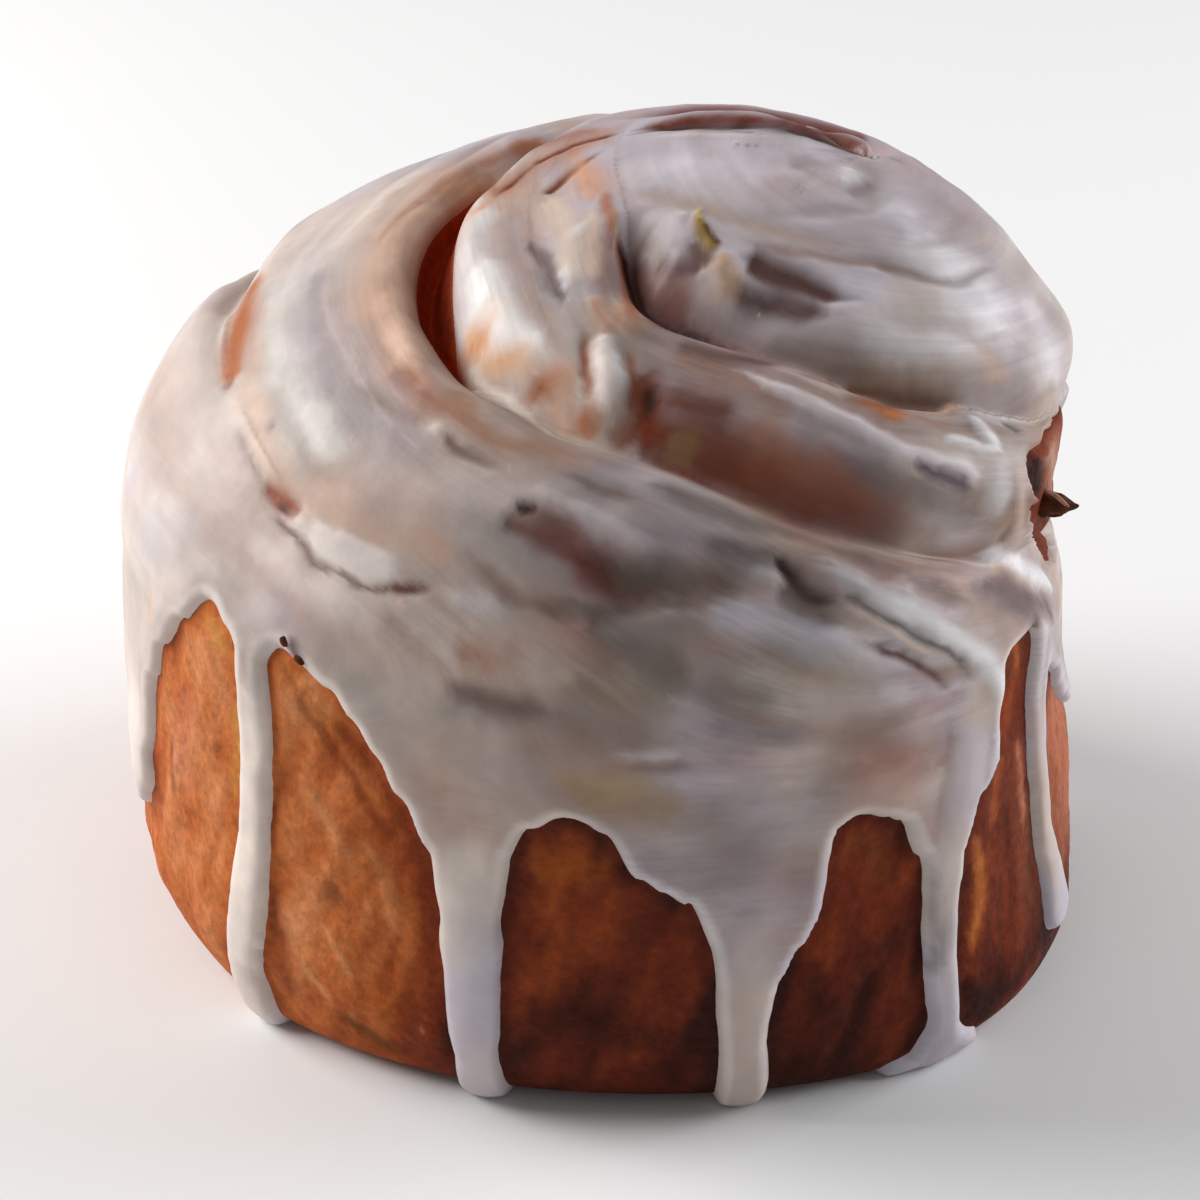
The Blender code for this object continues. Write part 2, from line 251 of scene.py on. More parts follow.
def seam_field():
    """Signed distance in mm to the nearest turn of the seam (outwards positive) and its turn angle."""
    wt, ws = steps(_W)
    dt, ds = steps(BODY)
    e, f, g = (dt * dt).sum(-1), (dt * ds).sum(-1), (ds * ds).sum(-1)
    det = np.maximum(e * g - f * f, 1e-9)
    ur = _W / RHO[..., None]
    up = np.stack([-ur[..., 1], ur[..., 0]], -1)
    best, turn = np.full(RHO.shape, 1e9), np.full(RHO.shape, float(SEAM[0][0]))
    for k in range(5):
        a = PHI + 360 * k
        inside = (a >= SEAM[0][0] - 25) & (a <= SEAM[-1][0] + 25)
        slope = (along(a + 0.5, SEAM) - along(a - 0.5, SEAM)) / math.radians(1.0)
        ft = (ur * wt).sum(-1) - slope * (up * wt).sum(-1) / RHO
        fs = (ur * ws).sum(-1) - slope * (up * ws).sum(-1) / RHO
        grad = np.sqrt(np.maximum((g * ft * ft - 2 * f * ft * fs + e * fs * fs) / det, 1e-4))
        beyond = np.maximum(np.maximum(SEAM[0][0] - a, a - SEAM[-1][0]), 0) * np.pi / 180 * RHO
        d = (RHO - along(a, SEAM)) / grad
        d = np.where(inside, np.sign(d) * np.hypot(d, beyond), 1e9)
        near = np.abs(d) < np.abs(best)
        best, turn = np.where(near, d, best), np.where(near, a, turn)
    return best, turn


SEAM_D, SEAM_TURN = seam_field()
UPPER = np.clip((Z - 30) / 8, 0, 1)


def valley(depth_share=1.0):
    depth = along(SEAM_TURN, VALLEY_DEPTH) * depth_share
    reach = np.where(SEAM_D > 0, along(SEAM_TURN, VALLEY_OUT), along(SEAM_TURN, VALLEY_IN))
    return depth * np.clip(1 - np.abs(SEAM_D) / reach, 0, 1) ** 2.0 * UPPER


# coordinates of the rolled strip: ALONG in mm along the turn, ACROSS in mm from the seam on its inner side
TAIL = SEAM + ((1340, 38.5), (1380, 42.0), (1430, 47.0))
ALONG, ACROSS = np.zeros(RHO.shape), RHO.copy()
for _k in range(4):
    _t = PHI + 360 * _k
    _r = along(_t, TAIL)
    _in = (RHO >= _r) & (_t >= TAIL[0][0]) & (_t <= TAIL[-1][0])
    ALONG = np.where(_in, _t * 0.42, ALONG)
    ACROSS = np.where(_in, (RHO - _r) * 1.5, ACROSS)
# inside the first turn the strip closes on itself, so its length runs round a circle there
_core = ALONG == 0
_ring = 5.7 * np.clip(RHO / 4, 0, 1)
ALONG_2 = np.where(_core, _ring * np.sin(np.radians(PHI)), 0.0)
ALONG = np.where(_core, _ring * np.cos(np.radians(PHI)), ALONG)


def blur(f, rounds):
    """Evens out a field over its neighbours. Each round reaches about one more cell of 0.4 mm."""
    for _ in range(rounds):
        f = 0.5 * f + 0.25 * (np.roll(f, 1, 0) + np.roll(f, -1, 0))
        g = f.copy()
        g[:, 1:-1] = 0.5 * f[:, 1:-1] + 0.25 * (f[:, :-2] + f[:, 2:])
        g[:, 0] = g[:, 1].mean()
        f = g
    return f


# ---------------------------------------------------------------- the dough
VALLEY = valley()
_x, _y, _z = (BODY[..., k] for k in range(3))
LUMPS = 0.45 * fractal(_x / 13, _y / 13, _z / 13, seed=3) + 0.16 * fractal(_x / 4.5, _y / 4.5, _z / 4.5, seed=5)
SKIN = 0.05 * fractal(_x / 0.9, _y / 0.9, _z / 1.4, seed=8, octaves=2)
ABOVE = smoothstep(1.0, 6.0, Z)  # the base stays flat
# the glaze stands on a slightly smaller body
UNDER_GLAZE = mix(around(np.radians(AZ), ((0, 0.4), (180, 0.8), (270, 0.8), (300, 0.6), (325, 0.5), (345, 0.3))), 0.9, smoothstep(12, 30, Z))
HOLLOW = ((6, 0.0), (14, 0.2), (20, 0.6), (25, 1.5), (33, 2.2), (38, 2.5), (42, 2.8), (48, 3.0), (52.5, 2.9), (54.5, 2.4), (57, 1.2), (59, 0.0))
DENT = np.exp(-((((AZ - 356 + 180) % 360 - 180) * 0.797 / 18) ** 2)) * along(Z + 0.6 * np.maximum(_y + 3.3, 0), HOLLOW)  # a hollow at the right
_off = (AZ - 351 + 180) % 360 - 180
DENT -= 1.7 * np.exp(-((_off / 17) ** 2) - ((Z - 61.5) / 3.6) ** 2)  # and the head standing out above it
H_DOUGH = -VALLEY + (LUMPS - UNDER_GLAZE) * ABOVE - DENT


# ---------------------------------------------------------------- strokes: features laid on the surface by picture position
_slow = np.stack([noise(_x / 3.1, _y / 3.1, _z / 3.1, seed=q) for q in (71, 72, 73)], -1)
_quick = np.stack([noise(_x / 0.9, _y / 0.9, _z / 0.9, seed=q) for q in (74, 75, 76)], -1)
WARP = BODY + 0.34 * _slow + 0.14 * _quick
RAGGED = BODY + 0.8 * _slow + 0.42 * _quick


class Strokes:
    """Finds the place on the roll that a picture position shows, and the distance of every grid point to a line there."""

    def __init__(self, height):
        g = BODY + OUT * height[..., None]
        n = normals(g)
        v = EYE - g
        v /= np.linalg.norm(v, axis=-1, keepdims=True)
        seen = ((n * v).sum(-1) > 0.03) & (Z > 0.2)
        self.index = np.argwhere(seen)
        c, r, d = pixel(g[seen])
        self.c, self.r, self.d = c, r, d
        self.at = BODY[seen]
        self.normal = N_BODY[seen]

    def hit(self, col, row):
        e = np.hypot(self.c - col, self.r - row)
        limit = max(3.0, e.min() + 1.0)
        near = np.where(e <= limit)[0]
        return near[np.argmin(self.d[near])]

    def line(self, points):
        """Smooth line through picture positions, as points on the smooth body with a half width at each."""
        p = np.array(points, float)
        if len(p) > 2:
            ext = np.vstack([2 * p[0] - p[1], p, 2 * p[-1] - p[-2]])
            out = []
            for i in range(1, len(ext) - 2):
                a, b, c, d = ext[i - 1], ext[i], ext[i + 1], ext[i + 2]
                n = max(2, int(np.linalg.norm(c[:2] - b[:2]) / 12))
                for u in np.linspace(0, 1, n, endpoint=False):
                    q = 0.5 * (2 * b + (c - a) * u + (2 * a - 5 * b + 4 * c - d) * u * u + (3 * b - 3 * c + d - a) * u**3)
                    q[2] = mix(b[2], c[2], u)
                    out.append(q)
            out.append(p[-1])
            p = np.array(out)
        idx = [self.hit(*q[:2]) for q in p]
        return self.at[idx], p[:, 2]

    def distance(self, points, warp=WARP):
        """Distance of every grid point from the line, in half widths of the line there, and the share along it."""
        q, w = self.line(points)
        dist = np.full(RHO.shape, 1e3)
        share = np.zeros(RHO.shape)
        reach = 2.2 * w.max() + 1.0
        lo, hi = q.min(0) - reach, q.max(0) + reach
        box = np.all((BODY >= lo) & (BODY <= hi), axis=-1)
        p = warp[box]
        if len(q) == 1:
            dist[box] = np.linalg.norm(p - q[0], axis=-1) / w[0]
            return dist, share
        lengths = np.linalg.norm(np.diff(q, axis=0), axis=1)
        total = lengths.sum()
        run = np.concatenate([[0], np.cumsum(lengths)])
        bd, bs = np.full(len(p), 1e3), np.zeros(len(p))
        for i in range(len(q) - 1):
            a, b = q[i], q[i + 1]
            ab = b - a
            l2 = max(float(ab @ ab), 1e-9)
            u = np.clip(((p - a) @ ab) / l2, 0, 1)
            d = np.linalg.norm(p - (a + u[:, None] * ab), axis=-1) / (w[i] + (w[i + 1] - w[i]) * u)
            m = d < bd
            bd[m], bs[m] = d[m], (run[i] + u[m] * lengths[i]) / max(total, 1e-9)
        dist[box], share[box] = bd, bs
        return dist, share


def taper(share, start=0.15, end=0.15):
    return smoothstep(0, max(start, 1e-3), share) * smoothstep(0, max(end, 1e-3), 1 - share)


# ---------------------------------------------------------------- the glaze's lower edge and its runs
# height of the edge by angle round the roll
SKIRT = (
    (2, 20.5), (8, 21.5), (18, 27.0), (30, 34.0), (40, 39.5), (55, 36.0), (64, 40.0), (78, 37.0), (90, 33.0), (102, 38.0),
    (112, 41.0), (124, 36.0), (135, 39.0), (146, 35.0), (156, 40.0), (167, 42.0), (177, 35.0), (184, 28.5), (190, 25.0),
    (196, 27.0), (200.5, 33.0), (203.6, 38.2), (209.6, 43.3), (213.8, 47.2), (218.2, 45.5), (223, 44.8), (226.5, 46.4),
    (229.6, 45.3), (234.0, 43.4), (237.4, 41.2), (240.6, 37.7), (243.8, 33.8), (247.6, 29.2), (253, 27.0), (258, 30.0),
    (261, 32.8), (266, 34.3), (270, 32.7), (274.3, 27.6), (277.4, 26.3), (280.4, 25.1), (284, 20.5), (287, 15.0),
    (289.5, 12.5), (292, 15.5), (295, 18.6), (297.2, 21.5), (298.0, 27.0), (298.8, 31.4), (301.2, 32.3), (305.4, 30.9), (307.6, 29.6),
    (310.4, 25.0), (313.4, 23.0), (316.4, 25.0), (320.0, 29.0), (325.2, 32.0), (326.4, 34.4), (325.0, 37.2), (323.6, 40.0), (323.8, 41.6), (325.2, 42.8), (327.6, 43.2),
    (330.4, 42.8), (332.6, 41.2), (334.2, 38.6), (335.4, 36.5), (339, 34.0), (344, 30.0), (350, 26.0), (357, 22.0),
)
# runs: (angle, height, half width in mm) down the middle of each
RUNS = (
    ((190.0, 34, 6.5), (191.0, 26, 5.2), (192.0, 20, 3.6), (191.0, 16.5, 2.4)),
    ((221.8, 46, 1.9), (222.6, 34, 2.0), (221.2, 23, 2.1), (219.0, 12, 2.5), (218.0, 5, 2.6), (218.8, 1.2, 2.6)),
    ((253.2, 37, 4.6), (252.8, 24, 3.5), (253.0, 12, 2.9), (253.3, 5, 2.6), (253.6, 0.6, 2.9)),
    ((288.5, 27, 5.6), (288.2, 20, 3.9), (287.9, 16, 2.9), (287.6, 8, 2.4), (288.2, 0.6, 2.7)),
    ((319.0, 44, 3.4), (317.4, 34, 3.1), (314.4, 24, 2.4), (313.6, 12, 1.9), (314.0, 5, 1.9), (313.8, 0.8, 2.2)),
    ((313.6, 3, 1.9), (311.6, 0.8, 1.7), (308.4, 0.4, 1.3)),
    ((314.0, 2.4, 1.8), (319.0, 0.6, 1.5)),
    ((334.6, 40, 1.8), (332.8, 34, 1.7), (333.0, 28, 1.7), (334.2, 22, 1.6), (335.6, 15.5, 1.8), (336.4, 9.0, 2.7)),
    ((17.0, 32, 3.0), (17.6, 22, 2.2), (18.0, 9, 2.1), (18.2, 0.8, 2.7)),
    ((30.5, 38, 3.0), (31.0, 28, 2.0), (31.6, 19, 2.2)),
    ((54.0, 38, 3.4), (53.0, 26, 2.4), (52.0, 12, 2.1), (52.0, 4.0, 2.5)),
    ((89.0, 36, 4.0), (88.5, 25, 2.8), (88.0, 12, 2.4), (88.3, 0.8, 3.0)),
    ((124.0, 38, 3.6), (123.0, 27, 2.4), (122.4, 17, 2.3)),
    ((146.0, 38, 3.6), (145.6, 26, 2.6), (146.0, 12, 2.3), (146.4, 0.8, 2.9)),
    ((176.5, 36, 3.2), (176.0, 28, 2.0), (175.6, 22, 2.1)),
)
MM_PER_DEG = 0.797
RIM = 1.35  # how far the thick bead at the edge reaches in


def smooth_max(a, b, k):
    h = np.clip(0.5 + 0.5 * (a - b) / k, 0, 1)
    return mix(b, a, h) + k * h * (1 - h)


def edge_field():
    """Distance in mm inside the glaze's lower edge, and the thickness of the runs."""
    turn = np.linspace(0, 360, AROUND, endpoint=False)
    edge = around(np.radians(turn), SKIRT) + 0.35 * noise(turn / 2.2, turn * 0 + 3.1, seed=21)
    step = 360 / AROUND * MM_PER_DEG
    skirt = np.full(RHO.shape, 1e3)
    for k in range(-30, 30):
        here, beside = np.roll(edge, -k)[:, None], np.roll(edge, -k - 1)[:, None]
        drop = beside - here
        u = np.clip(((Z - here) * drop - k * step * step) / (step * step + drop * drop), 0, 1)
        skirt = np.minimum(skirt, np.hypot((k + u) * step, here + u * drop - Z))
    skirt = skirt * np.sign(Z - edge[:, None])
    inside, run_t = skirt, np.zeros(RHO.shape)
    for run in RUNS:
        best = np.full(RHO.shape, -1e3)
        gone = 0.0
        for (a0, z0, w0), (a1, z1, w1) in zip(run[:-1], run[1:]):
            x = (AZ - a0 + 180) % 360 - 180
            x = x * MM_PER_DEG
            dx = ((a1 - a0 + 180) % 360 - 180) * MM_PER_DEG
            dz = z1 - z0
            u = np.clip((x * dx + (Z - z0) * dz) / (dx * dx + dz * dz), 0, 1)
            w = w0 + (w1 - w0) * u
            wobble = 1 + 0.08 * noise(Z / 3.1, Z * 0 + a0, seed=4)
            d = np.hypot(x - u * dx, Z - z0 - u * dz)
            best = np.maximum(best, w * wobble - d)
            length = math.hypot(dx, dz)
            t = np.clip(1 - (d / w) ** 2, 0, 1) ** 0.6 * np.minimum(w, 2.9) * 0.52
            run_t = np.maximum(run_t, t * smoothstep(0.0, 13.0, gone + u * length))
            gone += length
        inside = smooth_max(inside, best, 1.6)
    return inside, run_t


INSIDE, RUN_T = edge_field()
bead = np.sqrt(np.clip(1 - (1 - np.clip(INSIDE / RIM, 0, 1)) ** 2, 0, 1))
FILM = 0.55
EDGE_T = np.minimum(np.where(INSIDE > 0, bead * mix(1.05, FILM, smoothstep(RIM, 5.0, INSIDE)), 0), INSIDE * 2.4)
T_GLAZE = smooth_max(EDGE_T, RUN_T - 1.2 * smoothstep(0.5, 0.0, INSIDE), 0.7)

# folds and streaks of the glaze that run with the turns
FLOW = smoothstep(2.0, 6.0, INSIDE)
WALL = smoothstep(0.85, 0.5, N_BODY[..., 2]) * smoothstep(66, 57, Z)
LEVEL = Z + 0.5 * smoothstep(34, 50, Z) * 46 * np.sin(np.radians(AZ - 285))  # slants down to the right, level lower down
_c = np.cos(np.radians(AZ)) * 46, np.sin(np.radians(AZ)) * 46


def streaks(width, length, seed):
    """Noise drawn out along the turns, and level on the side wall."""
    on_top = noise(ACROSS / width, ALONG / length, ALONG_2 / length, seed=seed)
    on_wall = noise(LEVEL / (1.3 * width), _c[0] / length, _c[1] / length, seed=seed + 200)
    return mix(on_top, on_wall, WALL)


PATCH = smoothstep(-0.35, 0.45, fractal(_x / 7, _y / 7, _z / 7, seed=29))
STREAK = (streaks(3.1, 8.0, 31) + 0.55 * streaks(1.4, 6.0, 33) + 0.3 * PATCH * streaks(0.7, 5.0, 35)) / 1.4

FILLED = (508, 562)  # turns where the seam hardly shows under the glaze
# the glaze bridges the narrow bottom of a valley
_fill = blur(H_DOUGH, 14)
H_GLAZE = smooth_max(H_DOUGH + T_GLAZE, _fill + T_GLAZE * 0.9, 0.4)
H_GLAZE = H_GLAZE + VALLEY * 0.62 * smoothstep(1255, 1266, SEAM_TURN) * smoothstep(1278, 1268, SEAM_TURN)  # and nearly fills the outermost one
_level = smoothstep(FILLED[0], FILLED[0] + 12, SEAM_TURN) * smoothstep(FILLED[1] + 12, FILLED[1], SEAM_TURN) + smoothstep(1264, 1276, SEAM_TURN)
H_GLAZE = mix(H_GLAZE, (LUMPS - UNDER_GLAZE) * ABOVE - DENT + T_GLAZE, _level)
H_GLAZE = mix(H_DOUGH + T_GLAZE, H_GLAZE, smoothstep(0.0, 0.8, INSIDE))
H_GLAZE = H_GLAZE + smoothstep(4.0, 12.0, INSIDE) * 0.16 * STREAK

PEN = Strokes(H_GLAZE)

# ---------------------------------------------------------------- colour fields
def srgb(r, g, b):
    c = np.array([r, g, b], float) / 255
    return np.where(c <= 0.04045, c / 12.92, ((c + 0.055) / 1.055) ** 2.4)


WHITE = srgb(232, 228, 230)
LILAC = srgb(214, 208, 218)
CREAM = srgb(232, 216, 200)
PALE = srgb(206, 196, 198)
ASH = srgb(172, 160, 158)
DUSK = srgb(128, 104, 96)
SLATE = srgb(118, 106, 100)
TAN = srgb(190, 158, 134)
PEACH = srgb(222, 178, 144)
ORANGE = srgb(200, 122, 70)
CLAY = srgb(162, 104, 80)
RUST = srgb(124, 60, 38)
OLIVE = srgb(156, 124, 82)
PLUM = srgb(96, 60, 54)
DARK = srgb(70, 34, 22)
PIT = srgb(44, 18, 10)

# the film of glaze: whiter where it lies thick, the brown dough shows where it is thin
STREAK_2 = PATCH * streaks(0.8, 6.0, 37) + 0.5 * (1 - PATCH) * streaks(0.5, 3.0, 39)
side_x = BODY[..., 0] / 47
LEFT = smoothstep(0.2, -0.8, side_x)
FRONT = smoothstep(0.1, 0.75, -N_BODY[..., 1])
HEADLAND = smoothstep(26, 16, np.hypot(BODY[..., 0] - HEAD[0], BODY[..., 1] - HEAD[1]))  # the head is smoother
# The left side, which faces the key light, is painted whiter: painted light.
cover = 0.47 + 0.16 * LEFT - 0.05 * FRONT + 0.16 * HEADLAND + (0.44 * STREAK + 0.16 * STREAK_2) * (0.4 + 0.6 * FLOW) * (1 - 0.6 * HEADLAND) * (1 - 0.5 * LEFT)
cover += 0.16 * fractal(_x / 8, _y / 8, _z / 8, seed=41)
cover = np.clip(cover, 0.03, 0.97)
rim = smoothstep(2.4, 0.9, INSIDE)
cover = np.maximum(cover, 0.85 * rim)
# Runs are whiter where the glaze lies thick; the extra white on the left, where the key light falls, and on the run at
# 322 to 348 degrees is painted light.
_bright = np.clip(0.74 + 0.22 * LEFT - 0.12 * smoothstep(276, 282, AZ) + 0.22 * smoothstep(322, 330, AZ) * smoothstep(348, 340, AZ), 0, 0.97)
cover = mix(cover, np.maximum(cover, _bright), smoothstep(0.35, 1.1, RUN_T))
reddish = smoothstep(-0.5, 0.6, fractal(_x / 9 + 5, _y / 9, _z / 7, seed=43))
film = mix(DUSK, CLAY, (0.75 * reddish)[..., None])
film = mix(film, OLIVE, (0.5 * smoothstep(0.1, 0.6, fractal(_x / 8 + 5, _y / 8, _z / 6, seed=45)) * (1 - LEFT))[..., None])
cool = smoothstep(0.35, -0.35, fractal(_x / 10, _y / 10 + 3, _z / 10, seed=47) + 0.5 * LEFT - 0.5 * HEADLAND)
GLAZE_RGB = mix(film, mix(srgb(228, 216, 208), LILAC, cool[..., None]), cover[..., None])

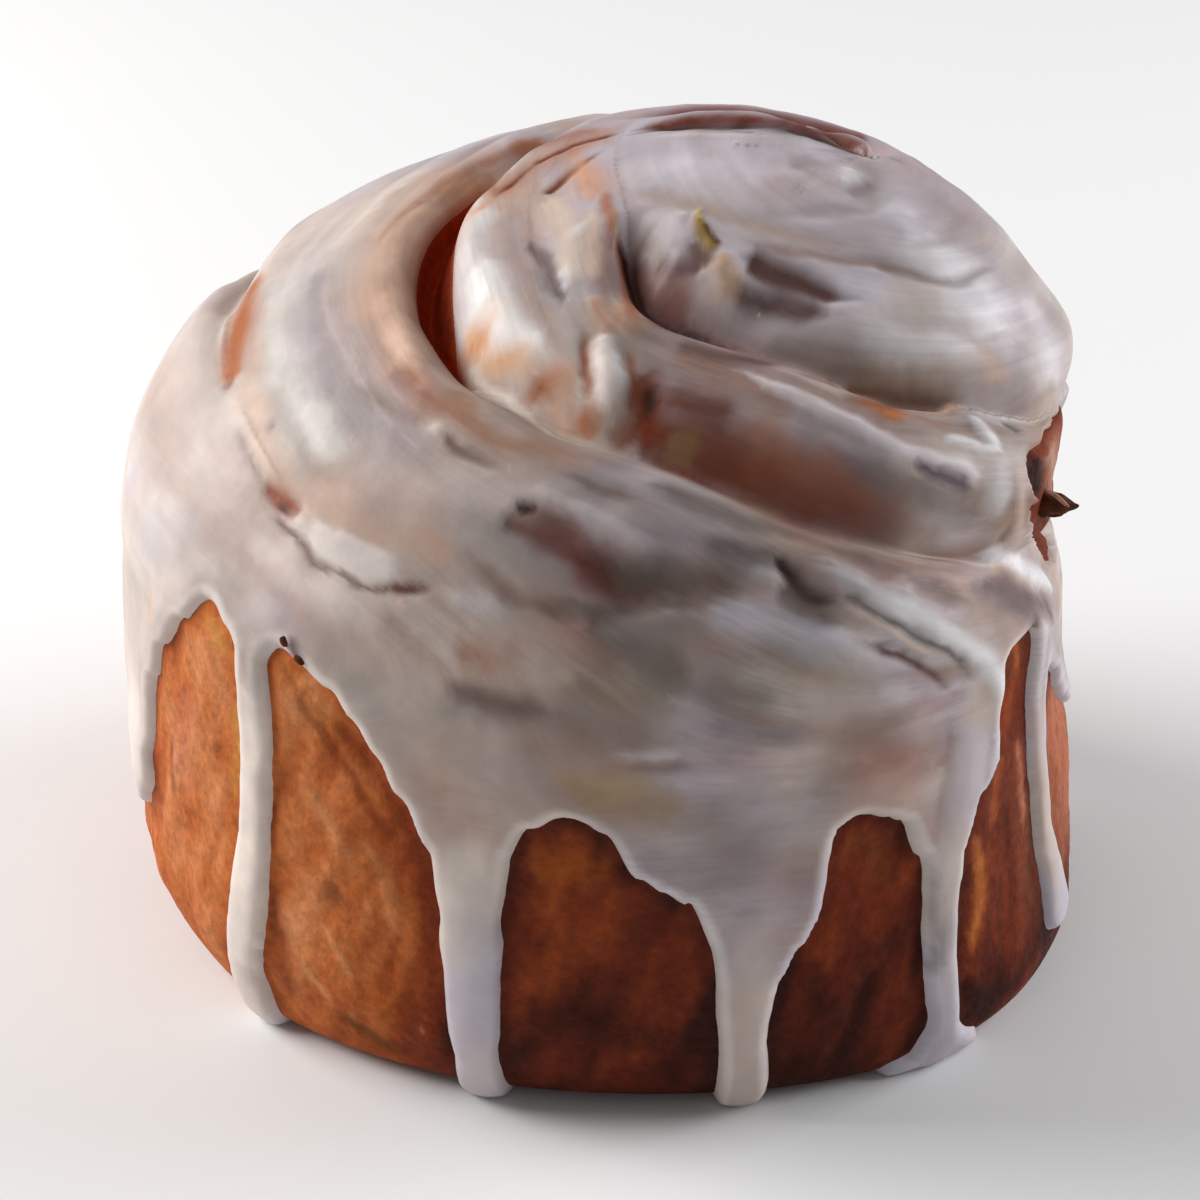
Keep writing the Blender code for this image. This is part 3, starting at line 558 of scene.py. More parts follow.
# Strokes on the glaze: (points, half width in mm), tone, strength, height in mm, (fade at start, at end).
# A point is (column, row) or (column, row, half width there).
STROKES = (
    # broad tones first
    ([(505, 512, 1.0), (545, 530, 2.1), (590, 556, 2.8), (640, 578, 2.4), (704, 596, 1.0)], 0, srgb(104, 52, 40), 0.92, -0.6, (0.02, 0.3)),
    ([(570, 546, 1.0), (610, 568, 1.4), (650, 584, 1.2), (700, 594, 0.8)], 0, DARK, 0.4, 0.0, (0.3, 0.2)),
    ([(590, 610, 1.2), (625, 640, 2.4), (655, 665, 2.8), (700, 692, 1.6)], 0, SLATE, 0.85, -0.35, (0.05, 0.25)),
    ([(600, 612, 1.6)], 0, PLUM, 0.5, 0.0, (0, 0)),
    ([(700, 606, 1.2), (745, 616, 2.2), (785, 624, 2.2), (830, 642, 1.6), (866, 658, 0.8)], 0, LILAC, 0.95, 0.3, (0.15, 0.25)),
    ([(545, 506, 0.9), (600, 520, 1.6), (660, 540, 2.0), (730, 558, 1.7), (765, 572, 1.0)], 0, PALE, 0.6, 0.2, (0.2, 0.3)),
    ([(500, 700, 1.5), (560, 720, 2.0), (640, 735, 2.0), (700, 742, 1.2)], 0, SLATE, 0.35, -0.1, (0.2, 0.3)),
    ([(550, 688, 1.4), (620, 702, 2.2), (690, 712, 1.4)], 0, srgb(156, 140, 126), 0.5, 0.0, (0.2, 0.2)),
    ([(690, 684), (740, 700), (800, 706)], 1.6, SLATE, 0.5, 0.0, (0.3, 0.3)),
    ([(830, 780, 2.0), (880, 768, 3.2), (930, 756, 2.4)], 0, CLAY, 0.45, 0.0, (0.2, 0.2)),
    ([(570, 790, 1.5), (610, 806, 2.6), (660, 812, 2.4), (690, 800, 1.4)], 0, OLIVE, 0.6, 0.0, (0.2, 0.2)),
    ([(480, 770, 2.0), (530, 780, 2.6), (560, 800, 1.8)], 0, ASH, 0.6, 0.0, (0.2, 0.2)),
    ([(700, 800, 2.6), (740, 850, 3.2), (745, 900, 2.4)], 0, SLATE, 0.4, 0.0, (0.2, 0.2)),
    ([(430, 740, 2.0), (440, 800, 2.2)], 0, TAN, 0.4, 0.0, (0.2, 0.2)),
    ([(450, 642), (490, 655), (532, 650)], 2.2, CLAY, 0.35, 0.0, (0.2, 0.2)),
    ([(760, 640), (800, 668), (850, 680)], 1.2, OLIVE, 0.3, 0.0, (0.2, 0.2)),
    # ring in front of the head
    ([(636, 436, 1.2), (680, 452, 2.0), (730, 470, 2.4), (800, 492, 2.6), (860, 512, 2.2), (940, 532, 1.4)], 0, RUST, 0.95, -0.2, (0.05, 0.3)),
    ([(720, 420, 1.5), (770, 446, 1.9), (830, 474, 1.6), (900, 502, 1.2)], 0, CLAY, 0.6, 0.0, (0.2, 0.3)),
    ([(840, 454, 1.0), (890, 478, 1.2), (940, 498, 1.0)], 0, srgb(104, 84, 84), 0.6, -0.15, (0.2, 0.2)),
    ([(655, 345, 0.9), (700, 366, 1.8), (760, 390, 2.0), (810, 416, 1.6)], 0, srgb(164, 128, 112), 0.8, 0.0, (0.15, 0.2)),
    ([(850, 552, 1.4), (920, 576, 2.0), (990, 596, 1.8), (1045, 606, 1.4)], 0, CLAY, 0.6, 0.0, (0.15, 0.15)),
    # dark plum band under the white ridge at the right, along a slight groove: painted shadow
    ([(980, 582, 0.6), (1020, 591, 1.3), (1054, 606, 1.2)], 0, srgb(98, 64, 70), 0.95, -0.2, (0.1, 0.05)),
    ([(986, 488, 1.0), (1006, 508, 1.2)], 0, srgb(196, 194, 186), 0.7, 0.1, (0.2, 0.2)),
    # head
    ([(700, 228), (760, 241), (830, 250), (900, 262), (960, 285), (1004, 322)], 1.3, ASH, 0.5, -0.1, (0.2, 0.2)),
    ([(880, 312), (950, 330), (1002, 352)], 1.5, SLATE, 0.35, 0.0, (0.2, 0.3)),
    ([(740, 322), (850, 334), (930, 344)], 1.1, PALE, 0.6, 0.1, (0.2, 0.3)),
    ([(640, 160, 2.4), (720, 164, 3.2), (800, 172, 3.0)], 0, srgb(222, 214, 222), 0.85, 0.0, (0.2, 0.3)),
    ([(872, 188, 1.0), (902, 204, 1.6), (930, 222, 1.2)], 0, srgb(228, 224, 228), 0.7, 0.0, (0.2, 0.2)),
    ([(900, 215, 2.0), (950, 262, 2.8), (990, 310, 3.4), (1010, 350, 2.2)], 0, srgb(238, 232, 236), 0.95, 0.0, (0.2, 0.2)),
    ([(620, 190, 1.0), (680, 198, 1.2), (740, 218, 1.0), (800, 234, 1.1), (870, 246, 0.9)], 0, srgb(176, 154, 140), 0.7, -0.25, (0.2, 0.25)),
    ([(740, 254, 1.1), (790, 273, 1.8), (830, 288, 1.2), (860, 298, 0.6)], 0, srgb(92, 64, 60), 0.9, -0.7, (0.1, 0.25)),
    ([(728, 290, 0.8), (760, 298, 1.3), (800, 304, 1.2), (840, 312, 0.7)], 0, DARK, 0.8, -0.5, (0.15, 0.25)),
    ([(640, 236, 1.6), (680, 256, 2.0)], 0, ASH, 0.5, -0.1, (0.2, 0.2)),
    ([(662, 258, 0.9), (684, 266, 1.1), (702, 262, 0.7)], 0, srgb(96, 70, 78), 0.9, -0.4, (0.1, 0.1)),
    # pink mark on the head: painted highlight
    ([(678, 214), (688, 236)], 0.7, srgb(222, 200, 212), 0.85, 0.2, (0.1, 0.1)),
    ([(654, 240), (666, 248)], 0.5, srgb(136, 134, 112), 0.7, -0.1, (0.1, 0.1)),
    ([(727, 262), (736, 296)], 0.5, srgb(132, 96, 80), 0.7, -0.2, (0.2, 0.2)),
    ([(744, 240), (800, 250), (860, 258), (920, 272)], 0.6, srgb(146, 116, 104), 0.6, -0.2, (0.2, 0.3)),
    ([(850, 322, 0.9), (900, 340, 1.7), (950, 346, 1.8), (985, 344, 1.0)], 0, srgb(226, 218, 220), 0.85, 0.0, (0.15, 0.2)),
    ([(670, 340, 0.8), (710, 350, 1.2), (750, 356, 1.5), (790, 364, 1.0)], 0, srgb(86, 52, 42), 0.8, -0.1, (0.15, 0.2)),
    # grey band under the head: painted shade
    ([(760, 350, 1.0), (820, 362, 1.4), (880, 372, 1.1)], 0, SLATE, 0.55, -0.1, (0.15, 0.2)),
    ([(636, 316), (690, 334), (760, 348)], 1.2, RUST, 0.6, 0.0, (0.1, 0.3)),
    # outer turn and its seam at the left
    # pale stroke down the lit left side of the broad turn: painted highlight
    ([(275, 268), (272, 330), (285, 400), (318, 438), (345, 450)], 1.6, srgb(216, 212, 206), 0.6, 0.0, (0.1, 0.1)),
    ([(310, 268, 2.0), (318, 350, 3.0), (352, 402, 3.0), (400, 440, 2.6), (450, 484, 1.8)], 0, srgb(164, 153, 158), 0.7, 0.0, (0.1, 0.25)),
    ([(330, 260), (352, 330), (384, 384)], 1.4, srgb(182, 168, 168), 0.3, 0.0, (0.2, 0.3)),
    ([(340, 520), (400, 560), (450, 584)], 1.4, ASH, 0.4, 0.0, (0.2, 0.3)),
    ([(258, 318), (250, 370), (256, 430), (300, 488), (350, 520), (400, 548), (440, 566)], 1.3, PEACH, 0.5, 0.0, (0.1, 0.2)),
    ([(258, 272, 1.3), (243, 300, 1.9), (234, 340, 2.0), (226, 388, 1.1)], 0, srgb(166, 92, 44), 1.0, -0.2, (0.05, 0.1)),
    ([(229, 378), (225, 392)], 0.6, RUST, 0.6, -0.2, (0.3, 0.3)),
    ([(306, 398, 0.8), (320, 428, 1.7), (340, 456, 1.3)], 0, srgb(236, 230, 224), 0.6, 0.05, (0.1, 0.15)),
    ([(306, 486, 1.0), (334, 490, 1.5), (352, 500, 1.2)], 0, srgb(228, 194, 176), 0.7, 0.0, (0.15, 0.2)),
    ([(300, 536, 0.8), (330, 552, 1.5), (366, 570, 1.7), (398, 578, 0.9)], 0, srgb(244, 232, 226), 0.9, 0.05, (0.1, 0.15)),
    ([(240, 540, 1.4), (280, 564, 1.9), (350, 602, 1.9), (400, 616, 1.2)], 0, srgb(236, 220, 214), 0.75, 0.0, (0.15, 0.25)),
    ([(400, 530, 1.0), (430, 548, 1.4), (458, 556, 1.0)], 0, srgb(196, 156, 128), 0.7, 0.0, (0.15, 0.2)),
    ([(292, 606, 0.6), (304, 610, 0.8)], 0, srgb(220, 168, 152), 0.6, 0.0, (0.2, 0.2)),
    ([(231, 434), (250, 458), (264, 478)], 0.35, DUSK, 0.8, -0.3, (0.2, 0.1)),
    ([(264, 480, 0.5), (280, 497, 1.1), (300, 514, 0.8)], 0, srgb(146, 72, 44), 1.0, -0.6, (0.1, 0.15)),
    ([(276, 498), (290, 512)], 0.4, DARK, 0.8, -0.3, (0.2, 0.2)),
    ([(258, 508), (285, 530), (310, 558), (340, 576), (370, 588), (395, 592)], 0.36, DUSK, 0.9, -0.45, (0.2, 0.05)),
    ([(396, 604, 0.5), (402, 612, 0.6)], 0, srgb(222, 190, 178), 0.8, 0.15, (0.2, 0.2)),
    ([(385, 592), (405, 590), (434, 586)], 0.55, srgb(104, 62, 52), 1.0, -0.5, (0.2, 0.3)),
    ([(306, 524), (340, 541), (376, 558), (404, 568)], 0.6, srgb(240, 224, 218), 0.9, 0.4, (0.15, 0.3)),
    ([(269, 429)], 0.5, DUSK, 0.9, -0.4, (0, 0)),
    ([(145, 588), (150, 632)], 0.9, PEACH, 0.6, 0.0, (0.3, 0.3)),
    ([(435, 428)], 0.55, CREAM, 0.9, 0.4, (0, 0)),
    ([(352, 384), (400, 406), (430, 426)], 0.6, DUSK, 0.45, -0.2, (0.3, 0.2)),
    ([(440, 436), (470, 452), (504, 468)], 0.6, DUSK, 0.85, -0.35, (0.1, 0.3)),
    ([(286, 640), (297, 656), (306, 662)], 0.5, srgb(70, 34, 26), 0.9, 0.3, (0.1, 0.1)),
    # brown film beside the deep valley, and over the crown
    ([(500, 182, 1.2), (450, 208, 2.0), (410, 250, 2.8), (394, 300, 3.0), (400, 350, 2.6), (430, 394, 2.0), (480, 428, 1.5), (540, 456, 1.0)], 0, CLAY, 0.85, 0.0, (0.05, 0.3)),
    ([(430, 218, 0.8), (452, 202, 1.2), (478, 186, 0.8)], 0, srgb(232, 184, 154), 0.8, 0.0, (0.2, 0.2)),
    ([(468, 166), (402, 215), (366, 280), (370, 350)], 2.2, TAN, 0.6, 0.0, (0.2, 0.3)),
    # pale peach on the slope beside the deep valley, lighter than the film there to offset the slope's shade: painted
    # light
    ([(446, 196, 1.2), (412, 240, 2.1), (400, 290, 2.1), (402, 340, 1.9), (424, 384, 1.2)], 0, srgb(252, 212, 188), 0.9, 0.0, (0.1, 0.2)),
    ([(440, 386, 0.9), (480, 420, 1.4), (540, 450, 1.4), (600, 470, 0.9)], 0, srgb(170, 124, 96), 0.75, 0.0, (0.1, 0.25)),
    ([(508, 154, 1.2), (560, 137, 1.7), (620, 124, 1.2)], 0, srgb(166, 106, 78), 0.95, 0.0, (0.1, 0.2)),
    ([(430, 190, 1.0), (480, 161, 1.5), (520, 143, 1.1)], 0, srgb(196, 150, 126), 0.65, 0.0, (0.2, 0.2)),
    ([(438, 200), (470, 184), (500, 174)], 0.7, srgb(200, 140, 92), 0.75, 0.0, (0.2, 0.2)),
    ([(476, 208), (520, 174), (570, 146), (620, 128)], 1.5, srgb(184, 118, 80), 0.75, 0.0, (0.2, 0.1)),
    ([(366, 256), (402, 212), (470, 168), (540, 138)], 0.5, CLAY, 0.6, -0.15, (0.3, 0.2)),
    ([(340, 250), (380, 205), (450, 158)], 0.6, TAN, 0.5, 0.0, (0.3, 0.3)),
    ([(490, 197), (520, 173), (556, 150), (590, 137), (622, 130)], 0.36, srgb(112, 52, 32), 0.95, -0.25, (0.15, 0.1)),
    ([(546, 190), (565, 174), (585, 160), (604, 148)], 0.4, srgb(112, 48, 28), 1.0, -0.3, (0.05, 0.25)),
    ([(560, 160), (590, 145)], 0.6, srgb(216, 160, 130), 0.8, 0.0, (0.2, 0.2)),
    ([(470, 216), (486, 202)], 0.5, srgb(214, 160, 120), 0.8, 0.1, (0.2, 0.2)),
    # the inner turn's beginning: a lump with a run of glaze down its front
    ([(490, 206, 1.2), (470, 240, 1.6), (463, 290, 1.6), (480, 326, 1.4)], 0, srgb(216, 207, 206), 0.85, 0.2, (0.05, 0.15)),
    ([(480, 256, 1.0), (488, 300, 1.8), (510, 334, 1.8), (544, 350, 1.2)], 0, srgb(248, 242, 240), 0.95, 0.15, (0.1, 0.15)),
    # the next three grey strokes, in the hollow of the lump's face, are painted shade, the darkest along a slight
    # groove
    ([(506, 214, 1.0), (518, 240, 1.1), (520, 262, 0.8)], 0, srgb(178, 166, 168), 0.75, -0.1, (0.1, 0.2)),
    ([(528, 238, 0.5), (545, 256, 0.9), (556, 282, 0.8), (561, 308, 0.5)], 0, srgb(122, 106, 104), 0.9, -0.35, (0.1, 0.2)),
    ([(530, 262, 0.5), (545, 290, 0.6)], 0, srgb(150, 138, 140), 0.7, -0.15, (0.2, 0.2)),
    ([(572, 156, 1.0), (590, 176, 1.7), (588, 202, 1.2)], 0, srgb(222, 162, 126), 0.8, 0.0, (0.1, 0.2)),
    ([(545, 192, 0.7), (564, 218, 1.3), (570, 250, 1.1), (567, 286, 0.8)], 0, srgb(238, 216, 198), 0.8, 0.2, (0.1, 0.1)),
    ([(590, 206, 0.6), (592, 246, 0.9), (588, 284, 0.7)], 0, srgb(228, 200, 180), 0.8, 0.1, (0.1, 0.1)),
    # small white marks on the cream patch: painted highlights
    ([(586, 218, 0.4), (580, 230, 0.6), (574, 240, 0.3)], 0, WHITE, 0.6, 0.15, (0.2, 0.2)),
    ([(560, 264, 0.3), (564, 276, 0.5), (566, 290, 0.3)], 0, WHITE, 0.6, 0.15, (0.2, 0.2)),
    ([(574, 300, 0.9), (572, 336, 1.1)], 0, srgb(196, 178, 176), 0.7, 0.0, (0.2, 0.2)),
    ([(465, 320, 0.8), (477, 344, 1.3), (500, 358, 1.0), (528, 368, 0.8)], 0, srgb(226, 172, 128), 0.9, 0.0, (0.1, 0.15)),
    ([(470, 336), (484, 351)], 0.7, srgb(206, 132, 80), 0.75, 0.0, (0.2, 0.2)),
    ([(536, 368, 0.8), (562, 372, 1.0), (578, 384, 0.7)], 0, srgb(214, 166, 140), 0.7, 0.0, (0.2, 0.2)),
    ([(528, 380, 0.5), (542, 390, 0.95), (546, 402, 0.6)], 0, srgb(172, 104, 66), 0.9, 0.0, (0.1, 0.1)),
    ([(536, 384), (540, 396)], 0.4, srgb(140, 78, 48), 0.7, -0.15, (0.2, 0.2)),
    ([(556, 394, 0.6), (566, 424, 0.8)], 0, srgb(226, 182, 154), 0.85, 0.0, (0.1, 0.2)),
    ([(574, 400, 0.5), (584, 420, 0.95), (590, 438, 0.5)], 0, srgb(186, 118, 78), 0.9, 0.0, (0.1, 0.1)),
    ([(463, 370), (490, 393), (520, 410), (552, 432), (590, 447)], 0.42, CREAM, 0.95, 0.2, (0.1, 0.3)),
    ([(606, 184, 0.5), (613, 226, 0.7), (622, 262, 0.75), (630, 300, 0.85), (640, 338, 0.7)], 0, srgb(178, 116, 90), 0.95, 0.25, (0.1, 0.2)),
    ([(604, 196), (608, 230), (616, 262)], 0.3, srgb(150, 78, 54), 0.8, 0.0, (0.2, 0.2)),
    ([(612, 206), (616, 240)], 0.4, TAN, 0.7, 0.1, (0.2, 0.3)),
    ([(616, 300), (622, 336)], 0.5, srgb(206, 160, 134), 0.8, 0.1, (0.2, 0.2)),
    ([(595, 296, 0.8), (602, 316, 1.1), (607, 334, 0.8)], 0, srgb(192, 152, 130), 0.95, 0.3, (0.1, 0.1)),
    ([(600, 333, 0.7), (604, 352, 0.95), (608, 380, 1.0), (604, 402, 0.95)], 0, srgb(246, 230, 224), 1.0, 0.65, (0.1, 0.0)),
    # white line down the run's right side: painted highlight
    ([(614, 352), (616, 392)], 0.36, WHITE, 0.9, 0.15, (0.1, 0.1)),
    ([(628, 350, 0.4), (632, 384, 0.5), (626, 408, 0.4)], 0, srgb(150, 88, 66), 0.85, -0.2, (0.1, 0.1)),
    ([(584, 328), (585, 366), (591, 402)], 0.45, srgb(160, 100, 78), 0.85, -0.3, (0.2, 0.2)),
    ([(618, 226, 0.4), (627, 262, 0.6), (634, 290, 0.8), (648, 312, 1.0), (684, 330, 0.7), (740, 347, 0.5)], 0, srgb(66, 30, 22), 1.0, -0.6, (0.1, 0.25)),
    ([(634, 250, 0.7), (646, 278, 1.5), (666, 300, 2.0), (696, 316, 1.4)], 0, srgb(112, 62, 52), 0.95, -0.15, (0.1, 0.2)),
    ([(636, 240, 0.7), (650, 252, 1.2), (668, 262, 0.8)], 0, srgb(116, 92, 84), 0.8, -0.1, (0.15, 0.2)),
    ([(690, 240, 0.6), (699, 252, 1.0), (706, 270, 0.8)], 0, srgb(100, 68, 48), 0.9, -0.15, (0.1, 0.2)),
    ([(646, 214, 0.9), (676, 224, 1.3), (690, 244, 0.9)], 0, srgb(192, 178, 184), 0.7, 0.1, (0.2, 0.2)),
    ([(642, 366, 1.2), (646, 400, 2.1), (640, 440, 1.8)], 0, RUST, 1.0, -0.4, (0.05, 0.15)),
    ([(640, 420), (650, 440)], 1.1, srgb(128, 48, 20), 0.9, 0.0, (0.1, 0.1)),
    ([(646, 380, 0.8), (652, 412, 0.9)], 0, DARK, 0.8, -0.3, (0.1, 0.2)),
    ([(606, 425), (628, 446)], 1.0, srgb(150, 96, 74), 0.8, 0.0, (0.2, 0.2)),
    ([(664, 448, 0.8), (700, 444, 0.8)], 0, OLIVE, 0.6, -0.1, (0.2, 0.3)),
    ([(664, 390, 1.0), (700, 402, 1.7), (738, 412, 1.1)], 0, srgb(112, 62, 50), 0.8, -0.1, (0.15, 0.25)),
    ([(690, 384, 0.4), (720, 396, 0.6), (752, 410, 0.4)], 0, srgb(176, 140, 130), 0.4, 0.1, (0.2, 0.2)),
    ([(700, 432, 0.8), (750, 450, 1.0)], 0, srgb(120, 72, 60), 0.7, 0.0, (0.2, 0.2)),
    # light and dark lines of the inner turn's front; the light line along its top edge is a painted highlight on a
    # slightly raised line
    ([(740, 370, 0.4), (790, 393, 0.6), (840, 416, 0.75), (890, 441, 0.7), (935, 458, 0.75), (982, 478, 0.5)], 0, srgb(236, 224, 228), 1.0, 0.4, (0.15, 0.05)),
    ([(904, 454, 0.25), (934, 467, 0.5), (954, 477, 0.65), (974, 489, 0.3)], 0, srgb(100, 84, 92), 0.9, -0.28, (0.3, 0.1)),
    ([(780, 402, 0.8), (830, 428, 1.2), (880, 450, 1.0)], 0, srgb(164, 148, 148), 0.8, 0.0, (0.2, 0.2)),
    ([(916, 484, 0.9), (950, 500, 1.5), (985, 516, 1.1)], 0, srgb(124, 114, 114), 0.6, -0.1, (0.15, 0.2)),
    ([(992, 462), (1002, 512)], 1.3, PALE, 0.8, 0.2, (0.2, 0.2)),
    ([(1000, 536), (1010, 538)], 0.65, DUSK, 0.9, -0.4, (0.2, 0.2)),
    ([(974, 556, 0.3), (1000, 560, 0.9), (1026, 566, 1.2), (1052, 584, 1.3)], 0, WHITE, 1.0, 0.55, (0.1, 0.05)),
    ([(935, 431, 0.3), (965, 439, 0.5), (1002, 454, 0.4)], 0, WHITE, 1.0, 0.3, (0.2, 0.1)),
    ([(968, 414, 0.5), (984, 430, 0.8), (1000, 450, 0.5)], 0, WHITE, 1.0, 0.35, (0.1, 0.2)),
    # folds that sweep to the run at the right
    ([(812, 562, 0.5), (850, 583, 0.85), (900, 610, 0.95), (950, 636, 0.95), (985, 658, 0.95), (1002, 690, 1.0), (1003, 724, 1.0), (992, 770, 1.1)], 0, WHITE, 1.0, 0.35, (0.1, 0.2)),
    ([(790, 547), (840, 564), (880, 583), (930, 606), (975, 630)], 0.32, srgb(206, 190, 190), 0.9, 0.12, (0.2, 0.2)),
    ([(800, 560), (840, 584), (880, 598)], 0.5, ASH, 0.6, -0.1, (0.2, 0.2)),
    ([(838, 592), (870, 609), (905, 631), (945, 652), (966, 667), (980, 696)], 0.34, srgb(112, 106, 100), 1.0, -0.28, (0.1, 0.25)),
    ([(846, 606), (880, 626), (912, 646), (938, 658)], 0.28, srgb(210, 186, 172), 1.0, 0.2, (0.15, 0.2)),
    ([(860, 641), (900, 658), (930, 673), (962, 694)], 0.42, PLUM, 0.95, -0.25, (0.15, 0.25)),
    ([(774, 553, 0.6), (792, 572, 1.2), (812, 592, 1.2), (846, 606, 0.6)], 0, srgb(58, 30, 20), 1.0, -0.8, (0.05, 0.3)),
    ([(776, 584, 0.9), (796, 604, 1.4), (826, 620, 1.2), (850, 628, 0.7)], 0, srgb(88, 72, 62), 0.85, -0.3, (0.1, 0.3)),
    ([(880, 690), (912, 700)], 0.9, PALE, 0.7, 0.15, (0.2, 0.3)),
    # bright runs
    ([(243, 680), (250, 740), (247, 820), (244, 900), (254, 980)], 1.5, srgb(250, 234, 222), 0.9, 0.0, (0.05, 0.05)),
    ([(1034, 690), (1040, 740), (1045, 800), (1049, 850), (1058, 900)], 1.2, srgb(206, 180, 166), 0.65, 0.0, (0.1, 0.05)),
    # grey down the left half of a run at the right front: painted shade
    ([(932, 860), (940, 920), (942, 980)], 1.1, srgb(140, 134, 132), 0.8, 0.0, (0.2, 0.2)),
    # centre of the front
    ([(440, 476, 1.2), (480, 484, 2.0), (540, 496, 1.8), (580, 506, 1.0)], 0, srgb(206, 188, 182), 0.85, 0.1, (0.1, 0.2)),
    ([(450, 506, 1.0), (490, 532, 1.6), (540, 570, 1.6), (590, 598, 1.0)], 0, srgb(158, 148, 144), 0.75, 0.1, (0.15, 0.25)),
    ([(600, 516, 0.9), (660, 532, 1.3), (740, 546, 1.1)], 0, srgb(158, 144, 150), 0.8, 0.1, (0.2, 0.25)),
    ([(520, 598, 0.6), (570, 604, 0.8), (640, 604, 0.8), (720, 604, 0.5)], 0, srgb(110, 96, 90), 0.75, -0.15, (0.2, 0.25)),
    ([(600, 626, 0.9), (660, 628, 1.3), (720, 634, 1.0)], 0, srgb(150, 142, 138), 0.75, 0.1, (0.2, 0.25)),
    ([(452, 660, 1.2), (490, 664, 1.5)], 0, srgb(160, 116, 94), 0.6, 0.0, (0.2, 0.2)),
    ([(440, 692, 1.0), (500, 706, 1.6), (560, 716, 1.2)], 0, srgb(112, 94, 88), 0.7, -0.1, (0.15, 0.25)),
    ([(560, 686, 1.0), (610, 696, 1.5), (660, 706, 1.0)], 0, srgb(160, 142, 126), 0.6, 0.05, (0.12, 0.15)),
    ([(550, 784, 1.1), (610, 790, 1.6), (660, 792, 1.1)], 0, srgb(180, 152, 110), 0.8, 0.0, (0.2, 0.2)),
    ([(700, 726, 1.0), (760, 738, 1.2), (820, 736, 0.9)], 0, srgb(142, 132, 136), 0.7, 0.1, (0.2, 0.2)),
    ([(528, 504, 0.6), (552, 514, 1.1), (588, 538, 1.3)], 0, srgb(112, 74, 66), 0.8, -0.1, (0.1, 0.2)),
    ([(640, 480, 0.8), (700, 502, 1.3), (760, 524, 1.3), (820, 540, 0.8)], 0, srgb(108, 94, 88), 0.75, -0.1, (0.2, 0.2)),
    ([(700, 540, 0.8), (750, 552, 1.3), (784, 560, 0.8)], 0, srgb(92, 82, 76), 0.75, -0.1, (0.2, 0.2)),
    ([(816, 542, 0.8), (856, 552, 1.1), (904, 570, 1.0), (950, 596, 1.0), (976, 610, 0.6)], 0, srgb(100, 80, 76), 0.75, -0.1, (0.15, 0.2)),
    # dark zone under the white flow at the right: painted shadow
    ([(968, 588, 0.9), (1000, 596, 1.6), (1034, 610, 1.3), (1044, 632, 0.9)], 0, srgb(96, 76, 74), 0.9, -0.15, (0.1, 0.15)),
    ([(770, 640, 0.9), (806, 652, 1.4), (850, 664, 1.0)], 0, srgb(178, 170, 172), 0.7, 0.05, (0.2, 0.25)),
    ([(600, 556, 1.0), (660, 572, 2.0), (716, 580, 2.2), (764, 586, 1.4)], 0, srgb(98, 86, 78), 0.8, -0.15, (0.2, 0.2)),
    ([(516, 503, 0.3), (530, 503, 0.65), (544, 504, 0.3)], 0, srgb(66, 34, 28), 1.0, -0.4, (0.1, 0.2)),
    ([(505, 508), (535, 494), (590, 512), (640, 540), (690, 556)], 0.6, PALE, 0.6, 0.3, (0.2, 0.4)),
    ([(560, 474), (600, 486), (655, 502)], 0.45, DUSK, 0.7, -0.2, (0.3, 0.3)),
    ([(472, 558), (500, 580), (522, 600), (560, 612), (600, 620)], 0.7, DUSK, 0.75, -0.3, (0.2, 0.3)),
    ([(440, 590), (480, 604), (512, 612)], 0.9, PALE, 0.6, 0.25, (0.3, 0.3)),
    ([(440, 684), (500, 703), (560, 714)], 0.8, DUSK, 0.6, -0.2, (0.2, 0.3)),
    ([(604, 754), (650, 756), (700, 750)], 0.4, PALE, 0.8, 0.3, (0.3, 0.3)),
    ([(620, 766), (660, 768), (700, 766)], 0.7, DUSK, 0.6, -0.2, (0.3, 0.3)),
    # head: back line, curl and the marks on its front
    ([(636, 128, 0.5), (670, 119, 1.0), (700, 114, 1.4), (740, 112, 1.6), (784, 116, 1.5), (826, 128, 1.6), (862, 145, 1.1)], 0, srgb(112, 50, 32), 1.0, -0.3, (0.1, 0.05)),
    ([(872, 156, 0.6), (850, 145, 1.1), (820, 132, 1.5), (790, 123, 1.8), (750, 119, 1.9), (700, 120, 1.5), (660, 125, 0.9), (630, 132, 0.4)], 0, srgb(62, 24, 14), 1.0, -0.5, (0.05, 0.2)),
    ([(774, 110), (792, 119)], 0.7, srgb(112, 100, 88), 0.85, 0.0, (0.2, 0.2)),
    ([(836, 136, 0.6), (852, 143, 0.9), (866, 151, 0.6)], 0, srgb(136, 78, 46), 0.95, 0.0, (0.1, 0.1)),
    ([(640, 136), (700, 132), (780, 134)], 0.5, srgb(216, 206, 210), 0.5, 0.1, (0.3, 0.3)),
    ([(838, 152, 0.6), (862, 162, 1.0), (876, 178, 1.3), (868, 202, 1.0)], 0, srgb(160, 146, 142), 0.7, -0.2, (0.2, 0.3)),
    ([(846, 190, 0.7), (862, 188, 1.1), (870, 178, 0.7)], 0, srgb(144, 130, 128), 0.8, -0.2, (0.2, 0.2)),
    ([(840, 180, 0.5), (849, 174, 1.0), (852, 166, 0.5)], 0, WHITE, 0.9, 0.3, (0.2, 0.2)),
    ([(790, 166, 0.5), (808, 160, 1.0), (828, 158, 0.5)], 0, srgb(156, 142, 144), 0.75, -0.15, (0.2, 0.2)),
    ([(770, 214), (830, 210), (872, 204), (905, 190)], 0.7, ASH, 0.6, -0.3, (0.3, 0.3)),
    ([(862, 262), (900, 270), (940, 279), (980, 272), (1002, 260)], 0.6, DUSK, 0.55, -0.3, (0.2, 0.3)),
